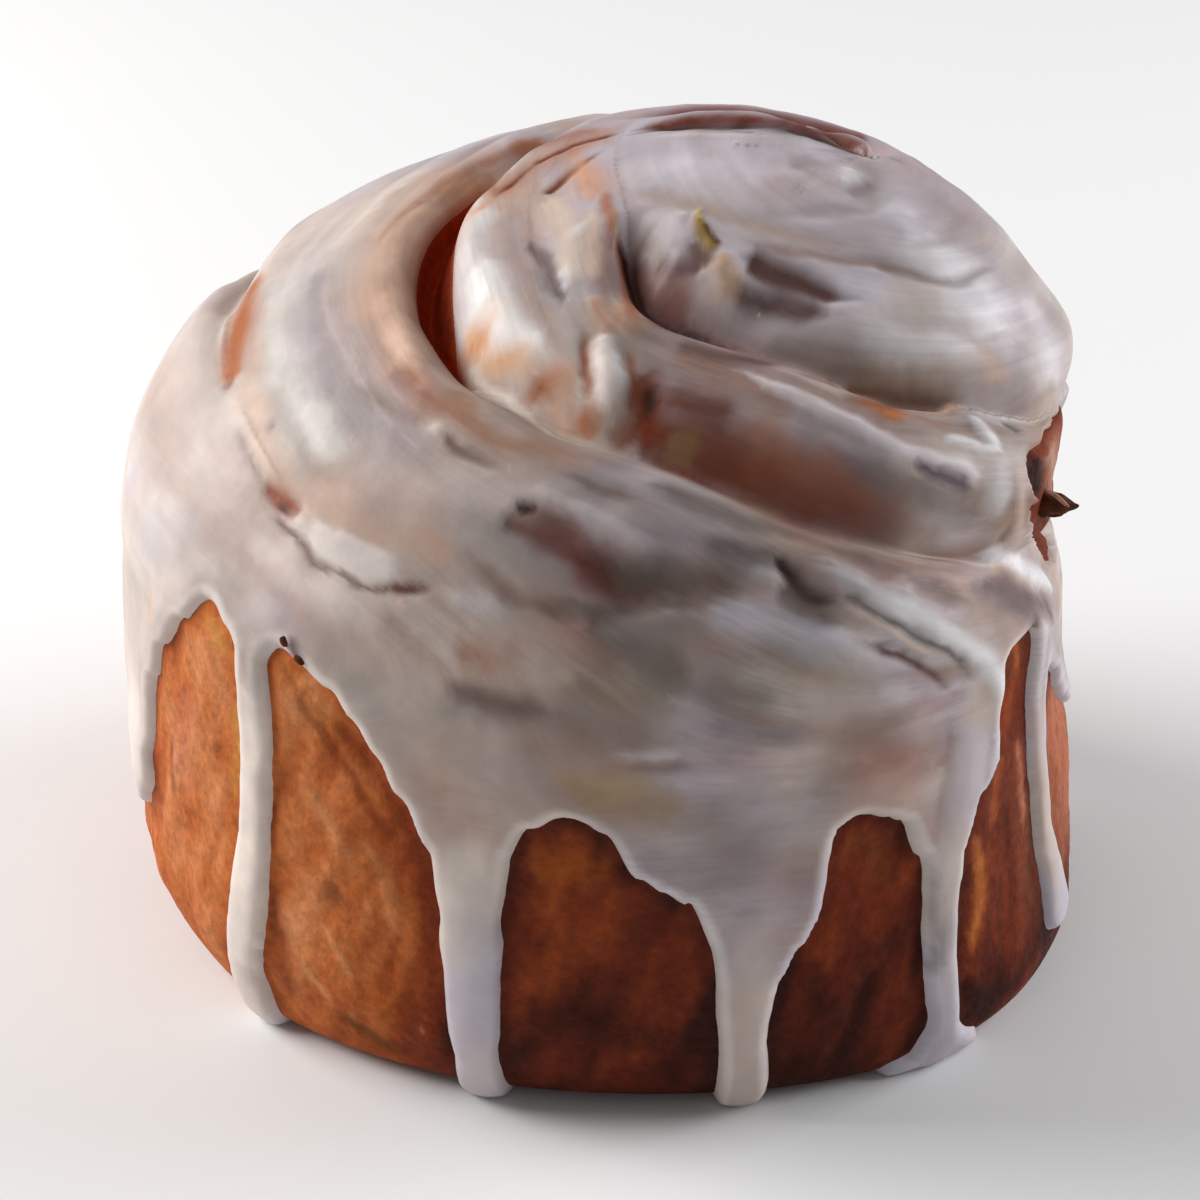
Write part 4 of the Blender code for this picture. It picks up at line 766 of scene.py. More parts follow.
    ([(960, 215), (940, 240), (900, 248)], 0.8, ASH, 0.5, -0.2, (0.3, 0.3)),
    ([(842, 384, 0.4), (880, 393, 0.65), (910, 399, 0.65), (950, 402, 0.4)], 0, srgb(98, 46, 24), 1.0, -0.3, (0.1, 0.2)),
    ([(840, 368, 0.9), (900, 378, 1.2), (955, 384, 1.0)], 0, srgb(152, 126, 104), 0.75, 0.0, (0.15, 0.2)),
    ([(800, 372), (840, 384)], 0.5, RUST, 0.6, -0.1, (0.2, 0.2)),
    ([(834, 388, 0.8), (860, 398, 1.2), (900, 404, 1.0), (948, 402, 1.1), (968, 400, 0.6)], 0, srgb(106, 74, 58), 0.8, -0.1, (0.15, 0.15)),
    ([(850, 396, 0.9), (900, 412, 1.5), (962, 420, 0.9)], 0, srgb(164, 128, 112), 0.8, 0.0, (0.1, 0.2)),
    ([(862, 402, 0.9), (884, 408, 1.5), (904, 410, 1.0)], 0, srgb(150, 82, 38), 0.95, 0.0, (0.1, 0.1)),
    ([(884, 412), (904, 413)], 0.45, srgb(196, 116, 50), 0.85, 0.1, (0.1, 0.1)),
    ([(880, 425), (940, 428)], 0.5, srgb(170, 150, 146), 0.8, 0.1, (0.2, 0.2)),
    ([(906, 408), (935, 410), (964, 407)], 0.34, srgb(226, 182, 156), 1.0, 0.25, (0.15, 0.2)),
    ([(640, 216), (690, 220)], 0.8, PALE, 0.6, 0.2, (0.2, 0.2)),
    ([(699, 206, 0.4), (702, 230, 0.8), (711, 250, 0.5)], 0, srgb(150, 122, 68), 1.0, 0.45, (0.1, 0.1)),
    ([(698, 208), (700, 222)], 0.4, srgb(206, 190, 130), 0.9, 0.1, (0.1, 0.1)),
    ([(706, 224), (714, 244)], 0.36, srgb(96, 62, 30), 0.85, -0.1, (0.1, 0.1)),
    ([(1030, 300, 1.5), (1052, 350, 1.8), (1050, 392, 1.4)], 0, srgb(232, 224, 228), 0.8, 0.0, (0.1, 0.1)),
    ([(716, 252, 0.9), (728, 278, 1.2), (734, 304, 1.0)], 0, TAN, 0.85, 0.35, (0.1, 0.25)),
    ([(974, 356), (998, 376), (1004, 398)], 0.9, PEACH, 0.6, 0.0, (0.2, 0.2)),
    ([(960, 330), (985, 352)], 0.7, OLIVE, 0.4, 0.0, (0.2, 0.2)),
    ([(1002, 420, 0.5), (1020, 430, 0.6)], 0, srgb(108, 110, 100), 0.9, -0.3, (0.1, 0.1)),
    ([(1020, 452), (1022, 500), (1020, 548)], 0.7, srgb(222, 196, 186), 0.6, 0.15, (0.2, 0.2)),
)


def widths(points, half):
    """Gives every point of a stroke its half width."""
    return [(*p[:2], p[2] if len(p) > 2 else half) for p in points]


RAISE = np.zeros(RHO.shape)
for points, half, tone, strength, height, (fade_in, fade_out) in STROKES:
    dist, share = PEN.distance(widths(points, half), WARP if height else RAGGED)
    ends = taper(share, fade_in, fade_out) if len(points) > 1 else 1.0  # it narrows and fades towards its ends
    crisp = (3.2 if max(w for *_, w in widths(points, half)) < 1.0 else 2.4) if height else 1.7
    mask = np.exp(-((dist / 1.08 / (0.4 + 0.6 * ends)) ** crisp)) * (0.3 + 0.7 * ends)
    mask = np.where(INSIDE > 0.2, mask, 0)
    soft = np.clip(mask * strength * (1 + (0.6 if height else 0.9) * STREAK * (1 - 0.7 * mask) + 0.25 * STREAK_2), 0, 1)
    GLAZE_RGB = mix(GLAZE_RGB, tone, soft[..., None])
    RAISE = RAISE + mask * height
RAISE = blur(RAISE, 3)
H_GLAZE = H_GLAZE + RAISE

# the deep valley at the left and the back of the head stay open: dark dough shows there
_deep = smoothstep(889, 902, SEAM_TURN) * smoothstep(936, 922, SEAM_TURN)
_lip = along(SEAM_TURN, ((893, 0.2), (898, -0.7), (904, -1.6), (910, -2.0), (914, -2.1), (920, -1.7), (926, -0.8), (931, -0.2), (936, 0.2)))
_open = _deep * smoothstep(2.0, 0.7, SEAM_D) * smoothstep(_lip - 0.25, _lip + 0.75, SEAM_D)
_back = smoothstep(441, 448, SEAM_TURN) * smoothstep(512, 500, SEAM_TURN) * smoothstep(1.7, 0.9, np.abs(SEAM_D))
H_GLAZE = H_GLAZE - (_open + 0.6 * _back) * 3.0
# In the valley the dough is painted darker on the lump's side, where light falls, lighter on the shaded side and
# lightest at the unlit bottom: painted light and shade.
VALLEY_RED = srgb(176, 58, 22)
VALLEY_RGB_PAINTED_LIGHT = mix(VALLEY_RED, srgb(104, 32, 12), smoothstep(0.4, -0.6, SEAM_D * np.minimum(_deep * 2, 1))[..., None])
VALLEY_RGB_PAINTED_LIGHT = mix(VALLEY_RGB_PAINTED_LIGHT, srgb(226, 84, 34), np.exp(-((SEAM_D / 0.6) ** 2))[..., None])
GLAZE_RGB = mix(GLAZE_RGB, VALLEY_RGB_PAINTED_LIGHT, (0.9 * smoothstep(0.0, 0.5, _open))[..., None])
_band = smoothstep(441, 448, SEAM_TURN) * smoothstep(514, 502, SEAM_TURN) * smoothstep(-1.7, -0.9, SEAM_D) * smoothstep(3.4, 1.9, SEAM_D)
GLAZE_RGB = mix(GLAZE_RGB, srgb(122, 48, 28), (0.85 * _band)[..., None])

# a bare place in the dent at the right, where the browned dough shows as far as the outline
def inside_outline(corners):
    """Signed distance in px of every grid point's picture position inside a closed line of corners."""
    c, r, _depth = pixel(BODY + OUT * H_GLAZE[..., None])
    c = c + 3.0 * noise(_x / 1.6, _y / 1.6, _z / 1.6, seed=81)
    r = r + 3.0 * noise(_x / 1.6, _y / 1.6, _z / 1.6, seed=82)
    best, inner = np.full(c.shape, 1e6), np.zeros(c.shape, bool)
    for (ax, ay), (bx, by) in zip(corners, corners[1:] + corners[:1]):
        u = np.clip(((c - ax) * (bx - ax) + (r - ay) * (by - ay)) / ((bx - ax) ** 2 + (by - ay) ** 2), 0, 1)
        best = np.minimum(best, np.hypot(c - ax - u * (bx - ax), r - ay - u * (by - ay)))
        crosses = ((ay > r) != (by > r)) & (c < (bx - ax) * (r - ay) / (by - ay if by != ay else 1e-9) + ax)
        inner ^= crosses
    return np.where(inner, best, -best)


NOTCH = [
    (1078, 382), (1066, 396), (1054, 418), (1041, 441), (1030, 449), (1027, 466), (1029, 484), (1040, 498), (1032, 509),
    (1033, 528), (1041, 548), (1049, 564), (1058, 550), (1066, 520), (1110, 512), (1110, 382),
]
_near = (((AZ - 350 + 180) % 360 - 180) > -24) & (((AZ - 350 + 180) % 360 - 180) < 26) & (Z > 40) & (Z < 64)
BARE = np.where(_near, smoothstep(-1.5, 2.5, inside_outline(NOTCH)), 0.0)
BARE = BARE * smoothstep(19, 11, (AZ - 350 + 180) % 360 - 180 + 4 * noise(_x / 2, _y / 2, _z / 2, seed=83) + 0.5 * np.abs(Z - 54))
H_GLAZE = H_GLAZE - 1.6 * BARE
H_DOUGH = np.where(INSIDE > 0.8, np.minimum(H_DOUGH, H_GLAZE - 0.3 + 2.0 * np.maximum(np.maximum(_open, _back), BARE)), H_DOUGH)
_pole = smoothstep(0, 7, np.arange(DOWN))[None]  # even at the very top of the head, where the columns meet
H_GLAZE, H_DOUGH = mix(H_GLAZE[:, 7].mean(), H_GLAZE, _pole), mix(H_DOUGH[:, 7].mean(), H_DOUGH, _pole)


# ---------------------------------------------------------------- meshes
def make_mesh(name, points, tris, colours=None):
    mesh = bpy.data.meshes.new(name)
    mesh.vertices.add(len(points))
    mesh.vertices.foreach_set("co", (points * MM).astype(np.float32).ravel())
    mesh.loops.add(len(tris) * 3)
    mesh.loops.foreach_set("vertex_index", tris.astype(np.int32).ravel())
    mesh.polygons.add(len(tris))
    mesh.polygons.foreach_set("loop_start", np.arange(0, len(tris) * 3, 3, dtype=np.int32))
    mesh.polygons.foreach_set("use_smooth", np.ones(len(tris), bool))
    mesh.update(calc_edges=True)
    for key, value in (colours or {}).items():
        if key.startswith("flow"):
            layer = mesh.attributes.new(key, "FLOAT_VECTOR", "POINT")
            layer.data.foreach_set("vector", value.astype(np.float32).ravel())
        elif value.ndim == 2:
            layer = mesh.attributes.new(key, "FLOAT_COLOR", "POINT")
            rgba = np.column_stack([value, np.ones(len(value))]).astype(np.float32)
            layer.data.foreach_set("color", rgba.ravel())
        else:
            layer = mesh.attributes.new(key, "FLOAT", "POINT")
            layer.data.foreach_set("value", value.astype(np.float32))
    obj = bpy.data.objects.new(name, mesh)
    bpy.context.scene.collection.objects.link(obj)
    return obj


def grid_tris(cells, offset=0, flip=False, first_row=None, rows=None):
    """Triangles of the chosen cells of a grid whose points are numbered column by column."""
    rows = rows or DOWN
    i, k = np.nonzero(cells)
    j = (i + 1) % AROUND
    a, b, c, d = i * rows + k, i * rows + k + 1, j * rows + k + 1, j * rows + k
    t = np.concatenate([np.stack([a, b, c], 1), np.stack([a, c, d], 1)])
    if flip:
        t = t[:, ::-1]
    return t + offset


def compact(points, tris, fields):
    """Drops points that no face uses, and the faces that the joined points of the head and of the underside have
    collapsed.
    """
    used, back = np.unique(tris, return_inverse=True)
    tris = back.reshape(tris.shape)
    tris = tris[(tris[:, 0] != tris[:, 1]) & (tris[:, 1] != tris[:, 2]) & (tris[:, 2] != tris[:, 0])]
    return points[used], tris, {k: v[used] for k, v in fields.items()}


def merge_poles(tris, rows, offset, ends):
    index = np.arange(offset + AROUND * rows)
    for k in ends:
        index[offset + np.arange(AROUND) * rows + k] = offset + k
    return index[tris]


def reduce(obj, faces):
    """Brings a mesh down to a number of triangles, most of it where the surface is even."""
    have = len(obj.data.polygons)
    if have <= faces:
        return
    m = obj.modifiers.new("reduce", "DECIMATE")
    m.ratio = faces / have
    bpy.context.view_layer.objects.active = obj
    obj.select_set(True)
    bpy.ops.object.modifier_apply(modifier=m.name)
    obj.select_set(False)


# dough: the whole closed body, with the wrinkles and baked streaks of the side wall
CINNAMON = srgb(96, 32, 12)
_slant = Z * 0.35  # the wrinkles lean a little
_cs = np.cos(np.radians(AZ - _slant)) * 46, np.sin(np.radians(AZ - _slant)) * 46
side = smoothstep(56, 44, Z) * ABOVE
wrinkle = noise(_cs[0] / 3.2, _cs[1] / 3.2, Z / 8.0, seed=55) + 0.6 * noise(_cs[0] / 1.6, _cs[1] / 1.6, Z / 4.0, seed=56)
grit = noise(_x / 0.8, _y / 0.8, _z / 0.8, seed=57)
SKIN = SKIN * ABOVE + side * (0.16 * wrinkle + 0.05 * grit)

# how dark each part of the side is: by angle round the roll, partly real browning and partly painted shade, lighter on
# the left, where the key light falls, and darker at the front and right; then darker lower down except at the far left,
# just below the glaze's edge and in patches
BROWNING_AND_SHADE = (
    (0, 0.66), (30, 0.6), (60, 0.5), (90, 0.52), (120, 0.5), (150, 0.46), (180, 0.4), (192, 0.28), (205, 0.22),
    (216, 0.2), (228, 0.14), (238, 0.24), (246, 0.48), (252, 0.66), (262, 0.68), (272, 0.72), (285, 0.76), (300, 0.74),
    (315, 0.72), (326, 0.62), (335, 0.72), (348, 0.7),
)
patches = fractal(_cs[0] / 7, _cs[1] / 7, Z / 7, seed=53)
fibres = noise(_cs[0] / 1.5 + 7, _cs[1] / 1.5, Z / 5.0, seed=58)
browning_and_shade = around(np.radians(AZ), BROWNING_AND_SHADE) + 0.22 * patches + 0.1 * fibres + 0.1 * wrinkle * (-1) + 0.03 * grit
browning_and_shade += 0.2 * smoothstep(20, 3, Z) * smoothstep(-0.95, -0.4, side_x) + 0.14 * smoothstep(-2.2, -0.3, INSIDE) * side
TOASTS = ((0.0, (208, 136, 88)), (0.25, (194, 108, 56)), (0.5, (152, 70, 32)), (0.75, (112, 46, 27)), (1.0, (60, 27, 20)))
browning_and_shade = np.clip(browning_and_shade, 0.0, 1.0)
dough_rgb = np.stack([np.interp(browning_and_shade, [t[0] for t in TOASTS], [srgb(*t[1])[k] for t in TOASTS]) for k in range(3)], -1)

# strokes on the browned side: as those on the glaze
SAND = srgb(210, 150, 100)
ROSE = srgb(206, 128, 96)
GOLD = srgb(206, 148, 66)
AMBER = srgb(176, 92, 34)
BRICK = srgb(126, 52, 26)
UMBER = srgb(92, 52, 28)
SOOT = srgb(48, 22, 16)
CRUST_STROKES = (
    ([(206, 618, 0.9), (222, 650, 1.2)], 0, GOLD, 0.7, 0.0, (0.1, 0.2)),
    ([(236, 700, 0.8), (238, 760, 1.0), (234, 800, 0.7)], 0, GOLD, 0.7, 0.0, (0.2, 0.2)),
    ([(190, 690), (178, 750), (186, 800)], 1.6, ROSE, 0.6, 0.0, (0.2, 0.2)),
    ([(168, 728), (170, 770), (176, 804)], 0.45, UMBER, 0.8, -0.2, (0.2, 0.2)),
    ([(160, 680), (150, 730), (152, 790)], 0.6, BRICK, 0.5, 0.0, (0.2, 0.2)),
    ([(200, 860), (220, 900)], 1.4, AMBER, 0.5, 0.0, (0.2, 0.2)),
    ([(272, 652, 0.5), (300, 690, 0.9), (340, 740, 1.0)], 0, AMBER, 0.6, 0.0, (0.1, 0.2)),
    ([(292, 690), (330, 745), (366, 800), (404, 850)], 0.6, BRICK, 0.7, -0.2, (0.1, 0.3)),
    ([(330, 716), (370, 770), (404, 820), (424, 860)], 0.7, BRICK, 0.85, -0.2, (0.1, 0.2)),
    ([(300, 780), (330, 830), (350, 870)], 1.0, SAND, 0.45, 0.1, (0.2, 0.2)),
    ([(360, 830), (384, 890), (396, 950)], 0.8, SAND, 0.4, 0.1, (0.2, 0.3)),
    ([(412, 830, 0.6), (424, 900, 0.9), (430, 980, 1.0), (432, 1060, 0.8)], 0, BRICK, 0.95, 0.0, (0.1, 0.1)),
    ([(322, 880, 0.8), (344, 912, 1.1)], 0, UMBER, 0.7, -0.2, (0.1, 0.2)),
    ([(318, 918), (336, 950), (354, 984)], 0.45, SAND, 0.75, 0.15, (0.2, 0.2)),
    ([(298, 958), (316, 982), (334, 1004)], 0.45, SAND, 0.75, 0.15, (0.2, 0.2)),
    ([(270, 870, 0.6), (276, 940, 1.1), (290, 1000, 1.2)], 0, BRICK, 0.8, 0.0, (0.2, 0.1)),
    ([(372, 980), (390, 1030)], 0.9, AMBER, 0.6, 0.1, (0.2, 0.2)),
    ([(330, 1010), (370, 1036), (420, 1062)], 0.9, UMBER, 0.7, -0.1, (0.2, 0.2)),
    ([(420, 1030)], 0.3, SAND, 0.9, 0.15, (0, 0)),
    ([(411, 1041)], 0.25, SAND, 0.9, 0.15, (0, 0)),
    ([(352, 1016)], 0.25, SAND, 0.9, 0.15, (0, 0)),
    ([(424, 1018)], 0.2, SAND, 0.9, 0.15, (0, 0)),
    ([(530, 872, 1.6), (575, 866, 2.4), (610, 880, 1.6)], 0, AMBER, 0.5, 0.0, (0.05, 0.2)),
    ([(560, 900), (610, 920)], 1.6, BRICK, 0.8, 0.0, (0.2, 0.3)),
    ([(516, 1000, 1.5), (600, 1030, 2.6), (680, 1040, 1.6)], 0, SOOT, 0.5, 0.0, (0.2, 0.2)),
    ([(850, 850), (880, 900), (870, 960)], 1.6, BRICK, 0.6, 0.0, (0.2, 0.3)),
    ([(800, 960), (830, 1020)], 1.6, SOOT, 0.4, 0.0, (0.2, 0.2)),
    ([(978, 850, 0.5), (982, 900, 0.8), (974, 960, 0.5)], 0, AMBER, 0.95, 0.1, (0.15, 0.2)),
    ([(1000, 840, 0.5), (1012, 900, 0.9), (1010, 960, 0.9)], 0, BRICK, 0.9, 0.0, (0.1, 0.1)),
    ([(968, 980, 1.4), (984, 1010, 2.0), (1026, 976, 1.2)], 0, srgb(46, 24, 22), 0.9, 0.0, (0.05, 0.1)),
    ([(1040, 930), (1048, 944)], 0.9, srgb(54, 26, 24), 0.8, 0.0, (0.1, 0.1)),
    ([(1016, 640, 0.5), (1020, 670, 0.6)], 0, AMBER, 0.9, 0.0, (0.0, 0.2)),
    ([(1004, 756), (997, 800), (990, 836)], 0.6, srgb(190, 102, 60), 0.75, 0.0, (0.1, 0.2)),
    ([(1018, 740), (1024, 790), (1026, 836)], 0.5, ROSE, 0.7, 0.05, (0.1, 0.2)),
    ([(1008, 800), (1012, 850), (1016, 900), (1014, 950)], 0.6, srgb(88, 32, 20), 0.8, -0.1, (0.1, 0.2)),
    ([(1032, 850), (1037, 900), (1036, 940)], 0.5, srgb(96, 42, 28), 0.8, 0.0, (0.1, 0.2)),
    ([(976, 836), (979, 890), (974, 950)], 0.6, srgb(192, 114, 60), 0.85, 0.1, (0.1, 0.2)),
    ([(992, 890), (998, 950)], 0.6, BRICK, 0.7, 0.0, (0.2, 0.2)),
    ([(850, 838, 1.0), (875, 850, 1.6), (888, 884, 1.2)], 0, srgb(120, 64, 28), 0.6, 0.0, (0.1, 0.2)),
    # the bare place at the right: a hollow, painted near black as shade over a shallow dip, a pale lip and the reddish
    # skin round them
    ([(1040, 456, 1.2), (1036, 472, 2.4), (1044, 490, 1.6)], 0, srgb(34, 8, 6), 1.0, -0.4, (0.05, 0.1)),
    ([(1036, 462, 1.2), (1035, 476, 1.6), (1042, 490, 1.0)], 0, srgb(34, 8, 6), 0.9, 0.0, (0.05, 0.1)),
    ([(1068, 398, 1.0), (1061, 418, 1.6), (1050, 440, 1.2)], 0, srgb(150, 84, 64), 0.9, 0.1, (0.1, 0.1)),
    ([(1052, 444, 1.6), (1056, 464, 2.2), (1055, 484, 1.6)], 0, srgb(196, 152, 132), 0.85, 0.1, (0.05, 0.1)),
    ([(1044, 510, 1.8), (1048, 545, 1.6)], 0, srgb(84, 28, 14), 0.95, 0.0, (0.1, 0.1)),
    ([(1036, 510), (1040, 546)], 0.7, srgb(66, 22, 14), 0.9, -0.1, (0.1, 0.1)),
)
dough_rgb = mix(dough_rgb, mix(BRICK, srgb(124, 56, 34), smoothstep(-0.3, 0.3, patches)[..., None]), (0.9 * BARE)[..., None])
_rosy = np.exp(-((((AZ - 350 + 180) % 360 - 180) / 15) ** 2)) * smoothstep(7, 15, Z) * smoothstep(36, 27, Z)
dough_rgb = mix(dough_rgb, ROSE, np.clip(_rosy * (0.62 + 0.3 * patches + 0.1 * fibres), 0, 1)[..., None])
CRUST_PEN = Strokes(H_DOUGH)
_raise = np.zeros(RHO.shape)
for points, half, tone, strength, height, (fade_in, fade_out) in CRUST_STROKES:
    dist, share = CRUST_PEN.distance(widths(points, half))
    ends = taper(share, fade_in, fade_out) if len(points) > 1 else 1.0
    mask = np.exp(-((dist / 1.08 / (0.4 + 0.6 * ends)) ** 2.3)) * (0.3 + 0.7 * ends)
    soft = np.clip(mask * strength * (0.9 + 0.3 * wrinkle * (1 - mask) - 0.25 * fibres), 0, 1)
    dough_rgb = mix(dough_rgb, tone, soft[..., None])
    _raise = _raise + mask * height
SKIN = SKIN + blur(_raise, 2)
dough_points = BODY + OUT * (H_DOUGH + SKIN)[..., None]
dough_points[..., 2] = np.maximum(dough_points[..., 2], 0)
cells = np.ones((AROUND, DOWN - 1), bool)
tris = merge_poles(grid_tris(cells), DOWN, 0, (0, DOWN - 1))
under = smoothstep(0.6, -0.2, Z)
dough_rgb = mix(dough_rgb, mix(BRICK, AMBER, np.clip(0.55 + 0.6 * patches, 0, 1)[..., None]), (0.85 * under)[..., None])
_valley = smoothstep(0.25, 0.85, VALLEY / np.maximum(along(SEAM_TURN, VALLEY_DEPTH), 0.1)) * UPPER
dough_rgb = mix(dough_rgb, CINNAMON, (0.9 * _valley)[..., None])
# the valley's tones, with their painted light and shade, go on the dough as well
dough_rgb = mix(dough_rgb, VALLEY_RGB_PAINTED_LIGHT, np.clip(blur(_open, 3) * 2, 0, 1)[..., None])
pts, tris, fields = compact(dough_points.reshape(-1, 3), tris, {"tint": dough_rgb.reshape(-1, 3)})
dough = make_mesh("baked_dough", pts, tris, fields)
reduce(dough, 180000)

# glaze: a closed shell over the cells where it is thicker than nothing
SHELL_ROWS = DOWN - UNDER
outer = (BODY + OUT * H_GLAZE[..., None])[:, :SHELL_ROWS]
low_side = np.minimum(H_GLAZE, H_DOUGH)
thin = np.minimum(blur(low_side, 14) - 1.2, low_side - 0.5)
inner = (BODY + OUT * thin[..., None])[:, :SHELL_ROWS]
outer[..., 2] = np.maximum(outer[..., 2], 0.02)
inner[..., 2] = np.maximum(inner[..., 2], 0.02)
lift = (H_GLAZE - H_DOUGH)[:, :SHELL_ROWS]
keep = lift > -0.3
k2 = np.roll(keep, -1, 0)
cells = (keep[:, :-1] | keep[:, 1:] | k2[:, :-1] | k2[:, 1:])
for _ in range(6):  # no two cells meet at a corner only
    a, b = cells[:, :-1], cells[:, 1:]
    c, d = np.roll(cells, -1, 0)[:, :-1], np.roll(cells, -1, 0)[:, 1:]
    bad1 = a & d & ~b & ~c
    bad2 = b & c & ~a & ~d
    if not (bad1.any() or bad2.any()):
        break
    cells[:, 1:] |= bad1
    cells[:, :-1] |= bad2
n_pts = AROUND * SHELL_ROWS
top = grid_tris(cells, 0, False, rows=SHELL_ROWS)
low = grid_tris(cells, n_pts, True, rows=SHELL_ROWS)
i, k = np.nonzero(cells)


def wall(edge_a, edge_b):
    """Closes the shell along cell edges that run from grid point a to b on its outer side."""
    return np.concatenate([
        np.stack([edge_b, edge_a, edge_a + n_pts], 1),
        np.stack([edge_b, edge_a + n_pts, edge_b + n_pts], 1),
    ])


def pid(ii, kk):
    return (ii % AROUND) * SHELL_ROWS + kk


walls = []
nb = np.roll(cells, 1, 0)  # neighbour at i - 1
ii, kk = np.nonzero(cells & ~nb)
walls.append(wall(pid(ii, kk), pid(ii, kk + 1)))
nb = np.roll(cells, -1, 0)  # neighbour at i + 1
ii, kk = np.nonzero(cells & ~nb)
walls.append(wall(pid(ii + 1, kk + 1), pid(ii + 1, kk)))
below = np.zeros_like(cells)
below[:, :-1] = cells[:, 1:]
ii, kk = np.nonzero(cells & ~below)
walls.append(wall(pid(ii, kk + 1), pid(ii + 1, kk + 1)))
above = np.ones_like(cells)
above[:, 1:] = cells[:, :-1]
ii, kk = np.nonzero(cells & ~above)
walls.append(wall(pid(ii + 1, kk), pid(ii, kk)))
tris = np.concatenate([top, low] + walls)
index = np.arange(2 * n_pts)
index[np.arange(AROUND) * SHELL_ROWS] = 0
index[n_pts + np.arange(AROUND) * SHELL_ROWS] = n_pts
tris = index[tris]
on_top = np.stack([ACROSS / 0.45, ALONG / 5.0, ALONG_2 / 5.0], -1)
on_wall = np.stack([LEVEL / 0.55, _c[0] / 5.0, _c[1] / 5.0], -1)


def both(field):
    """Values of a grid field for the outer and the inner skin of the shell."""
    field = field[:, :SHELL_ROWS]
    return np.concatenate([field.reshape(-1, *field.shape[2:])] * 2)


fields = {
    "tint": both(GLAZE_RGB), "flow_top": both(on_top), "flow_wall": both(on_wall), "wall": both(WALL),
    "fine": both((0.3 + 0.7 * PATCH * (1 - 0.7 * HEADLAND)) * smoothstep(0.9, 0.2, RUN_T) * (1 - 0.6 * LEFT)),
}
pts, tris, fields = compact(np.concatenate([outer.reshape(-1, 3), inner.reshape(-1, 3)]), tris, fields)
glaze = make_mesh("sugar_glaze", pts, tris, fields)
reduce(glaze, 190000)


# cinnamon between the turns
def seam_at(turn):
    r = float(along(np.asarray(turn, float), SEAM))
    return np.array([CURL[0] + r * math.cos(math.radians(turn)), CURL[1] + r * math.sin(math.radians(turn))])


_T = np.linspace(0, 2 * np.pi, 2881)
_RIM = np.stack([outline_r(_T) * np.cos(_T) - HEAD[0], outline_r(_T) * np.sin(_T) - HEAD[1]], -1)
_SEEN = np.unwrap(np.arctan2(_RIM[:, 1], _RIM[:, 0]))


def dome_z(x, y):
    dx, dy = x - HEAD[0], y - HEAD[1]
    t = np.interp((np.arctan2(dy, dx) - _SEEN[0]) % (2 * np.pi) + _SEEN[0], _SEEN, _T)
    r = outline_r(t)
    q = np.hypot(dx, dy) / np.hypot(r * np.cos(t) - HEAD[0], r * np.sin(t) - HEAD[1])
    zs = around(t, SHOULDER_Z)
    z = zs + (HEIGHT - zs) * np.clip(1 - np.minimum(q, 1) ** DOME_POWER, 0, 1) ** around(t, SHOULDER_ROUND)
    return np.where(q <= 1, z, -1.0)


def on_wall(base, z):
    k = (z - APEX[2]) / -APEX[2]
    return np.array([APEX[0] + (base[0] - APEX[0]) * k, APEX[1] + (base[1] - APEX[1]) * k, z])


def floor_z(base, turn):
    low, high = 20.0, HEIGHT + 2
    for _ in range(40):
        mid = (low + high) / 2
        p = on_wall(base, mid)
        low, high = (mid, high) if dome_z(p[0], p[1]) > mid else (low, mid)
    return low - float(along(np.asarray(turn, float), VALLEY_DEPTH)) * 0.97 - 1.1


turns = np.arange(SEAM[0][0] + 6, SEAM[-1][0] - 8, 1.2)
ring_n = 10
_by_seam = np.abs(SEAM_D) < 0.5
_order = np.argsort(SEAM_TURN[_by_seam])
dents = np.interp(turns, SEAM_TURN[_by_seam][_order], DENT[_by_seam][_order])
pts = []
for t in turns:
    base = seam_at(t)
    ahead = seam_at(t + 1) - seam_at(t - 1)
    ahead /= np.linalg.norm(ahead)
    out = np.array([ahead[1], -ahead[0], 0.0])
    z = floor_z(base, t)
    c = on_wall(base, z - 0.9 - 1.6 * float(smoothstep(884, 898, t) * smoothstep(946, 930, t)))
    c[:2] *= 1 - (1.2 * max(float(np.interp(t, turns, dents)), 0.0) + 0.8 * float(smoothstep(1036, 1046, t) * smoothstep(1100, 1090, t))) / np.hypot(c[0], c[1])
    wide = 0.75 + 0.2 * float(noise(np.array([t / 4.0]), np.array([2.0]), seed=61)[0])
    tall = 1.7 + 0.35 * float(noise(np.array([t / 3.1]), np.array([7.0]), seed=62)[0])
    ends = min(1.0, (t - turns[0]) / 6 + 0.15, (turns[-1] - t) / 6 + 0.15)
    for k in range(ring_n):
        a = 2 * math.pi * k / ring_n
        pts.append(c + out * math.cos(a) * wide * ends + np.array([0, 0, 1.0]) * math.sin(a) * tall * ends)
m = len(turns)
tris = []
for q in range(m - 1):
    for k in range(ring_n):
        a, b = q * ring_n + k, q * ring_n + (k + 1) % ring_n
        tris += [(a, b, b + ring_n), (a, b + ring_n, a + ring_n)]
pts = np.array(pts + [pts[0] * 0 + np.mean(pts[:ring_n], 0), np.mean(pts[-ring_n:], 0)])
for k in range(ring_n):
    tris.append((m * ring_n, (k + 1) % ring_n, k))
    tris.append((m * ring_n + 1, (m - 1) * ring_n + k, (m - 1) * ring_n + (k + 1) % ring_n))
cinnamon = make_mesh("cinnamon_layer", pts, np.array(tris))


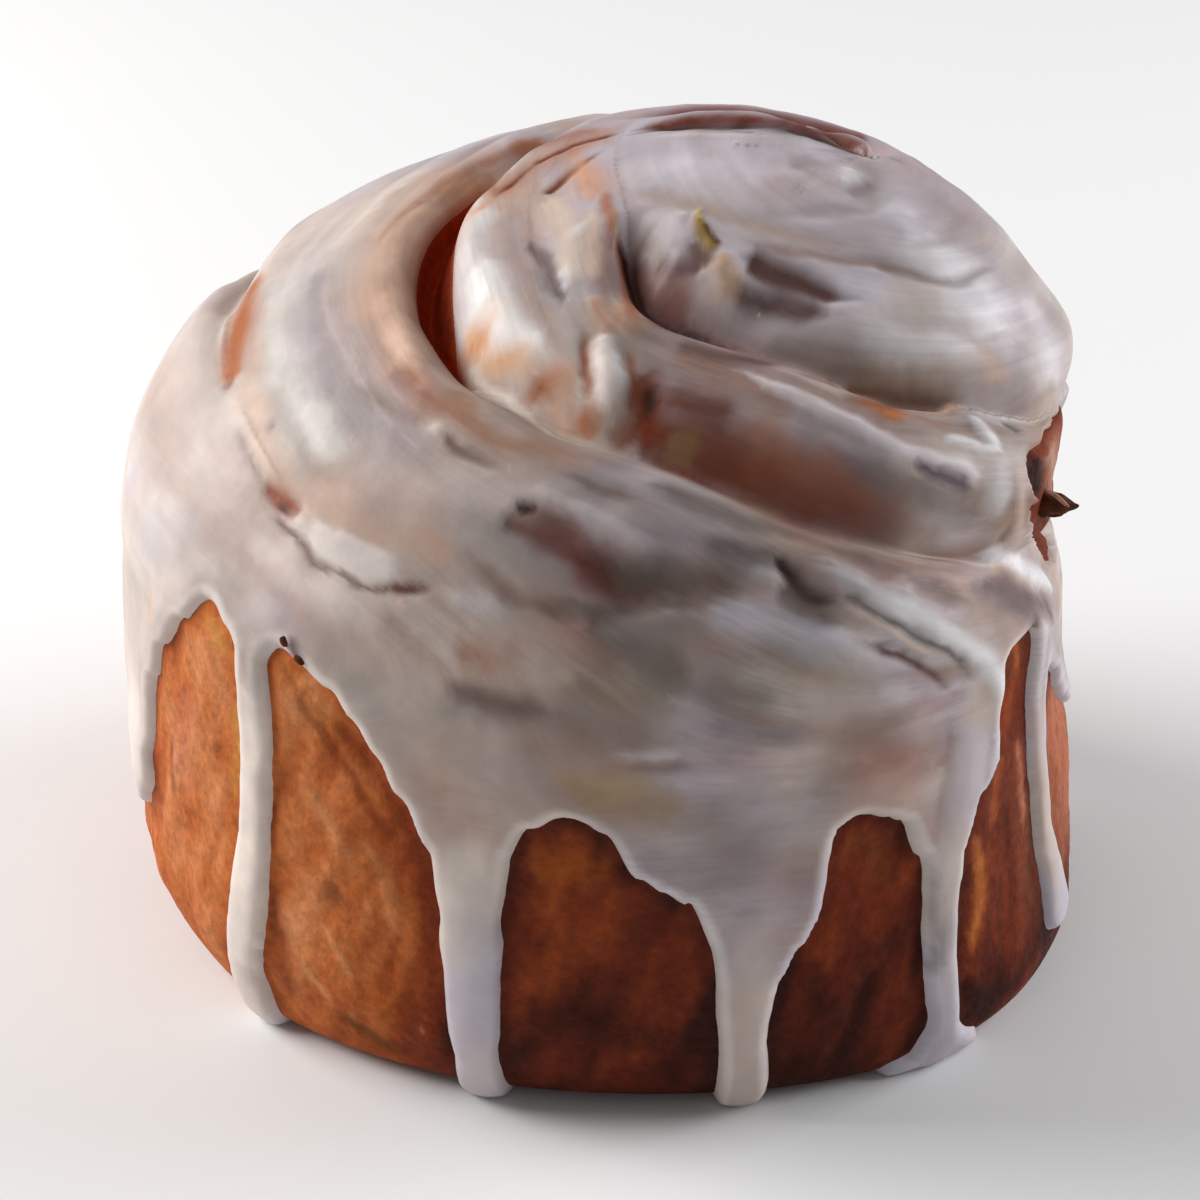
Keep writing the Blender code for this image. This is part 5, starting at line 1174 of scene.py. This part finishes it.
# small browned bits: the torn flake in the dent at the right, and crumbs at the glaze's edge
def bit(name, start, stop, radius, tone, lift, seed, thin=0.0):
    """A knobbly bit of dough between two picture positions, thickest in its middle, or nearer its start when thin is above 0."""
    k0, k1 = PEN.hit(*start), PEN.hit(*stop)
    i0, i1 = tuple(PEN.index[k0]), tuple(PEN.index[k1])
    p0 = BODY[i0] + OUT[i0] * (H_GLAZE[i0] + lift)
    right, up = np.array([1.0, 0, 0]), UP
    per_mm = 1200 * LENS / 36.0 / float(pixel(p0)[2])
    p1 = p0 + right * (stop[0] - start[0]) / per_mm - up * (stop[1] - start[1]) / per_mm
    axis = p1 - p0
    length = np.linalg.norm(axis)
    axis = axis / length
    a = np.cross(axis, BACK)
    a /= np.linalg.norm(a)
    b = np.cross(axis, a)
    u, v = np.linspace(0, np.pi, 22), np.linspace(0, 2 * np.pi, 28, endpoint=False)
    uu, vv = np.meshgrid(u, v, indexing="ij")
    r = radius * np.sin(uu) ** 0.8 * (1 - thin * smoothstep(0.3, 3.0, uu))
    q = (
        (p0 + p1) / 2
        + axis * (-np.cos(uu) * (length / 2 + radius * 0.3))[..., None]
        + a * (np.cos(vv) * r)[..., None]
        + b * (np.sin(vv) * r * 0.8)[..., None]
    )
    q = q + 0.2 * radius * np.stack([noise(q[..., 0] / 0.9, q[..., 1] / 0.9, q[..., 2] / 0.9, seed=seed + n) for n in range(3)], -1)
    n_u, n_v = len(u), len(v)
    tris = []
    for i in range(n_u - 1):
        for j in range(n_v):
            m = (j + 1) % n_v
            t = [i * n_v + j, (i + 1) * n_v + j, (i + 1) * n_v + m, i * n_v + m]
            tris += [(t[0], t[1], t[2]), (t[0], t[2], t[3])]
    index = np.arange(n_u * n_v)
    index[:n_v] = 0
    index[-n_v:] = (n_u - 1) * n_v
    pts = q.reshape(-1, 3)
    shade = 1 + 0.35 * noise(pts[:, 0] / 0.5, pts[:, 1] / 0.5, pts[:, 2] / 0.5, seed=seed + 9)
    pts, tris, fields = compact(pts, index[np.array(tris)], {"tint": np.clip(tone * shade[:, None], 0, 1)})
    volume = np.einsum("ij,ij->i", pts[tris[:, 0]], np.cross(pts[tris[:, 1]], pts[tris[:, 2]])).sum()
    return make_mesh(name, pts, tris if volume > 0 else tris[:, ::-1], fields)


BITS = [
    bit("flake_a", (1050, 501), (1082, 505), 1.5, srgb(84, 46, 28), 1.0, 90, 0.75),
    bit("flake_b", (1052, 508), (1070, 513), 0.8, srgb(92, 44, 26), 1.0, 93, 0.4),
    bit("flake_c", (1038, 493), (1062, 512), 0.22, srgb(190, 136, 116), 1.5, 96),
    bit("crumb_a", (281, 640), (286, 648), 0.42, UMBER, 0.1, 101),
    bit("crumb_b", (295, 656), (303, 663), 0.38, UMBER, 0.1, 104),
]


# ---------------------------------------------------------------- materials
def material(name, flat=None, tint=None, vary=(60, 0.2), rough=(0.4, 0.5), bumps=(), specular=0.5, coat=None, fibres=None):
    """A Principled material. Its colour comes from the mesh or is flat, and noise varies colour, roughness and bump.

    vary is (noise scale per metre, share), rough the lowest and highest roughness, and bumps (scale, distance in mm).
    fibres is (share of the colour, depth in mm) of a fine pattern drawn out along the flow.
    """
    mat = bpy.data.materials.new(name)
    mat.use_nodes = True
    nodes, links = mat.node_tree.nodes, mat.node_tree.links
    shader = nodes["Principled BSDF"]
    shader.inputs["Specular IOR Level"].default_value = specular
    if coat:
        shader.inputs["Coat Weight"].default_value, shader.inputs["Coat Roughness"].default_value = coat
    where = nodes.new("ShaderNodeTexCoord").outputs["Object"]

    def cloud(scale, detail=4.0, at=where):
        n = nodes.new("ShaderNodeTexNoise")
        n.inputs["Scale"].default_value = scale
        n.inputs["Detail"].default_value = detail
        links.new(at, n.inputs["Vector"])
        return n.outputs["Fac"]

    def field(key, out="Fac"):
        a = nodes.new("ShaderNodeAttribute")
        a.attribute_name = key
        return a.outputs[out]

    def ranged(value, low, high):
        m = nodes.new("ShaderNodeMapRange")
        m.inputs["From Min"].default_value, m.inputs["From Max"].default_value = 0.3, 0.7
        m.inputs["To Min"].default_value, m.inputs["To Max"].default_value = low, high
        links.new(value, m.inputs["Value"])
        return m.outputs["Result"]

    shade = nodes.new("ShaderNodeMix")
    shade.data_type, shade.blend_type = "RGBA", "MULTIPLY"
    shade.inputs["Factor"].default_value = 1.0
    if tint:
        source = nodes.new("ShaderNodeAttribute")
        source.attribute_name = tint
        links.new(source.outputs["Color"], shade.inputs["A"])
    else:
        shade.inputs["A"].default_value = (*flat, 1)
    links.new(ranged(cloud(vary[0]), 1 - vary[1], 1 + vary[1] * 0.4), shade.inputs["B"])
    colour = shade.outputs["Result"]
    before = None
    if fibres:
        hair = nodes.new("ShaderNodeMix")
        links.new(field("wall"), hair.inputs["Factor"])
        links.new(cloud(1.0, 2.0, field("flow_top", "Vector")), hair.inputs["A"])
        links.new(cloud(1.0, 2.0, field("flow_wall", "Vector")), hair.inputs["B"])
        deep = nodes.new("ShaderNodeMix")
        deep.inputs["A"].default_value = 0.5
        links.new(field("fine"), deep.inputs["Factor"])
        links.new(hair.outputs["Result"], deep.inputs["B"])
        combed = nodes.new("ShaderNodeMix")
        combed.data_type, combed.blend_type = "RGBA", "MULTIPLY"
        combed.inputs["Factor"].default_value = 1.0
        links.new(colour, combed.inputs["A"])
        links.new(ranged(deep.outputs["Result"], 1 - fibres[0], 1 + fibres[0] * 0.6), combed.inputs["B"])
        colour = combed.outputs["Result"]
        bump = nodes.new("ShaderNodeBump")
        bump.inputs["Strength"].default_value = 1.0
        bump.inputs["Distance"].default_value = fibres[1] * MM
        links.new(deep.outputs["Result"], bump.inputs["Height"])
        before = bump.outputs["Normal"]
    links.new(colour, shader.inputs["Base Color"])
    links.new(ranged(cloud(vary[0] * 1.7), *rough), shader.inputs["Roughness"])
    for scale, depth in bumps:
        bump = nodes.new("ShaderNodeBump")
        bump.inputs["Strength"].default_value = 1.0
        bump.inputs["Distance"].default_value = depth * MM
        links.new(cloud(scale), bump.inputs["Height"])
        if before:
            links.new(before, bump.inputs["Normal"])
        before = bump.outputs["Normal"]
    if before:
        links.new(before, shader.inputs["Normal"])
    return mat


crust_mat = material("browned_crust", tint="tint", vary=(900, 0.25), rough=(0.5, 0.75), bumps=((420, 0.3), (1500, 0.12)), specular=0.07)
glaze_mat = material("sugar_glaze", tint="tint", vary=(260, 0.1), rough=(0.4, 0.55), bumps=((170, 0.12), (700, 0.03)), specular=0.28, coat=(0.05, 0.25), fibres=(0.12, 0.06))
cinn_mat = material("cinnamon_sugar", flat=CINNAMON, vary=(1200, 0.5), rough=(0.35, 0.6), bumps=((900, 0.3),), specular=0.45)
dough.data.materials.append(crust_mat)
glaze.data.materials.append(glaze_mat)
cinnamon.data.materials.append(cinn_mat)
for obj in BITS:
    obj.data.materials.append(crust_mat)

for obj in (dough, glaze, cinnamon, *BITS):
    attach(obj, "root")
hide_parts("dough")
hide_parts("filling")

# ---------------------------------------------------------------- floor, light and camera
floor_mesh = bpy.data.meshes.new("floor")
s = 3.0
floor_mesh.from_pydata([(-s, -s, 0), (s, -s, 0), (s, s, 0), (-s, s, 0)], [], [(0, 1, 2, 3)])
floor = bpy.data.objects.new("floor", floor_mesh)
bpy.context.scene.collection.objects.link(floor)
floor.location.z = -0.0003
floor_mat = material("floor", flat=(0.88, 0.88, 0.88), vary=(3, 0.02), rough=(0.75, 0.85), specular=0.2)
floor_mesh.materials.append(floor_mat)


def area(name, way, size, power, colour=(1, 1, 1), distance=0.6):
    light = bpy.data.lights.new(name, "AREA")
    light.shape = "DISK"
    light.size = size
    light.energy = power
    light.color = colour
    obj = bpy.data.objects.new(name, light)
    bpy.context.scene.collection.objects.link(obj)
    v = np.array(way, float)
    v /= np.linalg.norm(v)
    from mathutils import Vector

    obj.location = Vector(v * distance) + Vector((0, 0, 0.035))
    obj.rotation_euler = Vector(v).to_track_quat("Z", "Y").to_euler()
    return obj


area("key", (-0.85, 0.2, 0.52), 0.4, 4.35, (1.0, 0.985, 0.97))
area("side", (0.95, 0.2, 0.36), 0.4, 3.0, (0.97, 0.98, 1.0))
world = bpy.data.worlds.new("studio")
bpy.context.scene.world = world
world.use_nodes = True
world.node_tree.nodes["Background"].inputs["Color"].default_value = (1, 1, 1, 1)
world.node_tree.nodes["Background"].inputs["Strength"].default_value = 0.2

cam = bpy.data.cameras.new("camera")
cam.lens = LENS
cam.sensor_width = 36.0
cam_obj = bpy.data.objects.new("camera", cam)
bpy.context.scene.collection.objects.link(cam_obj)
cam_obj.location = tuple(EYE * MM)
cam_obj.rotation_euler = (math.radians(90 - ELEVATION), 0, 0)
cam.clip_start, cam.clip_end = 0.01, 20
bpy.context.scene.camera = cam_obj
bpy.context.scene.view_settings.view_transform = "Standard"
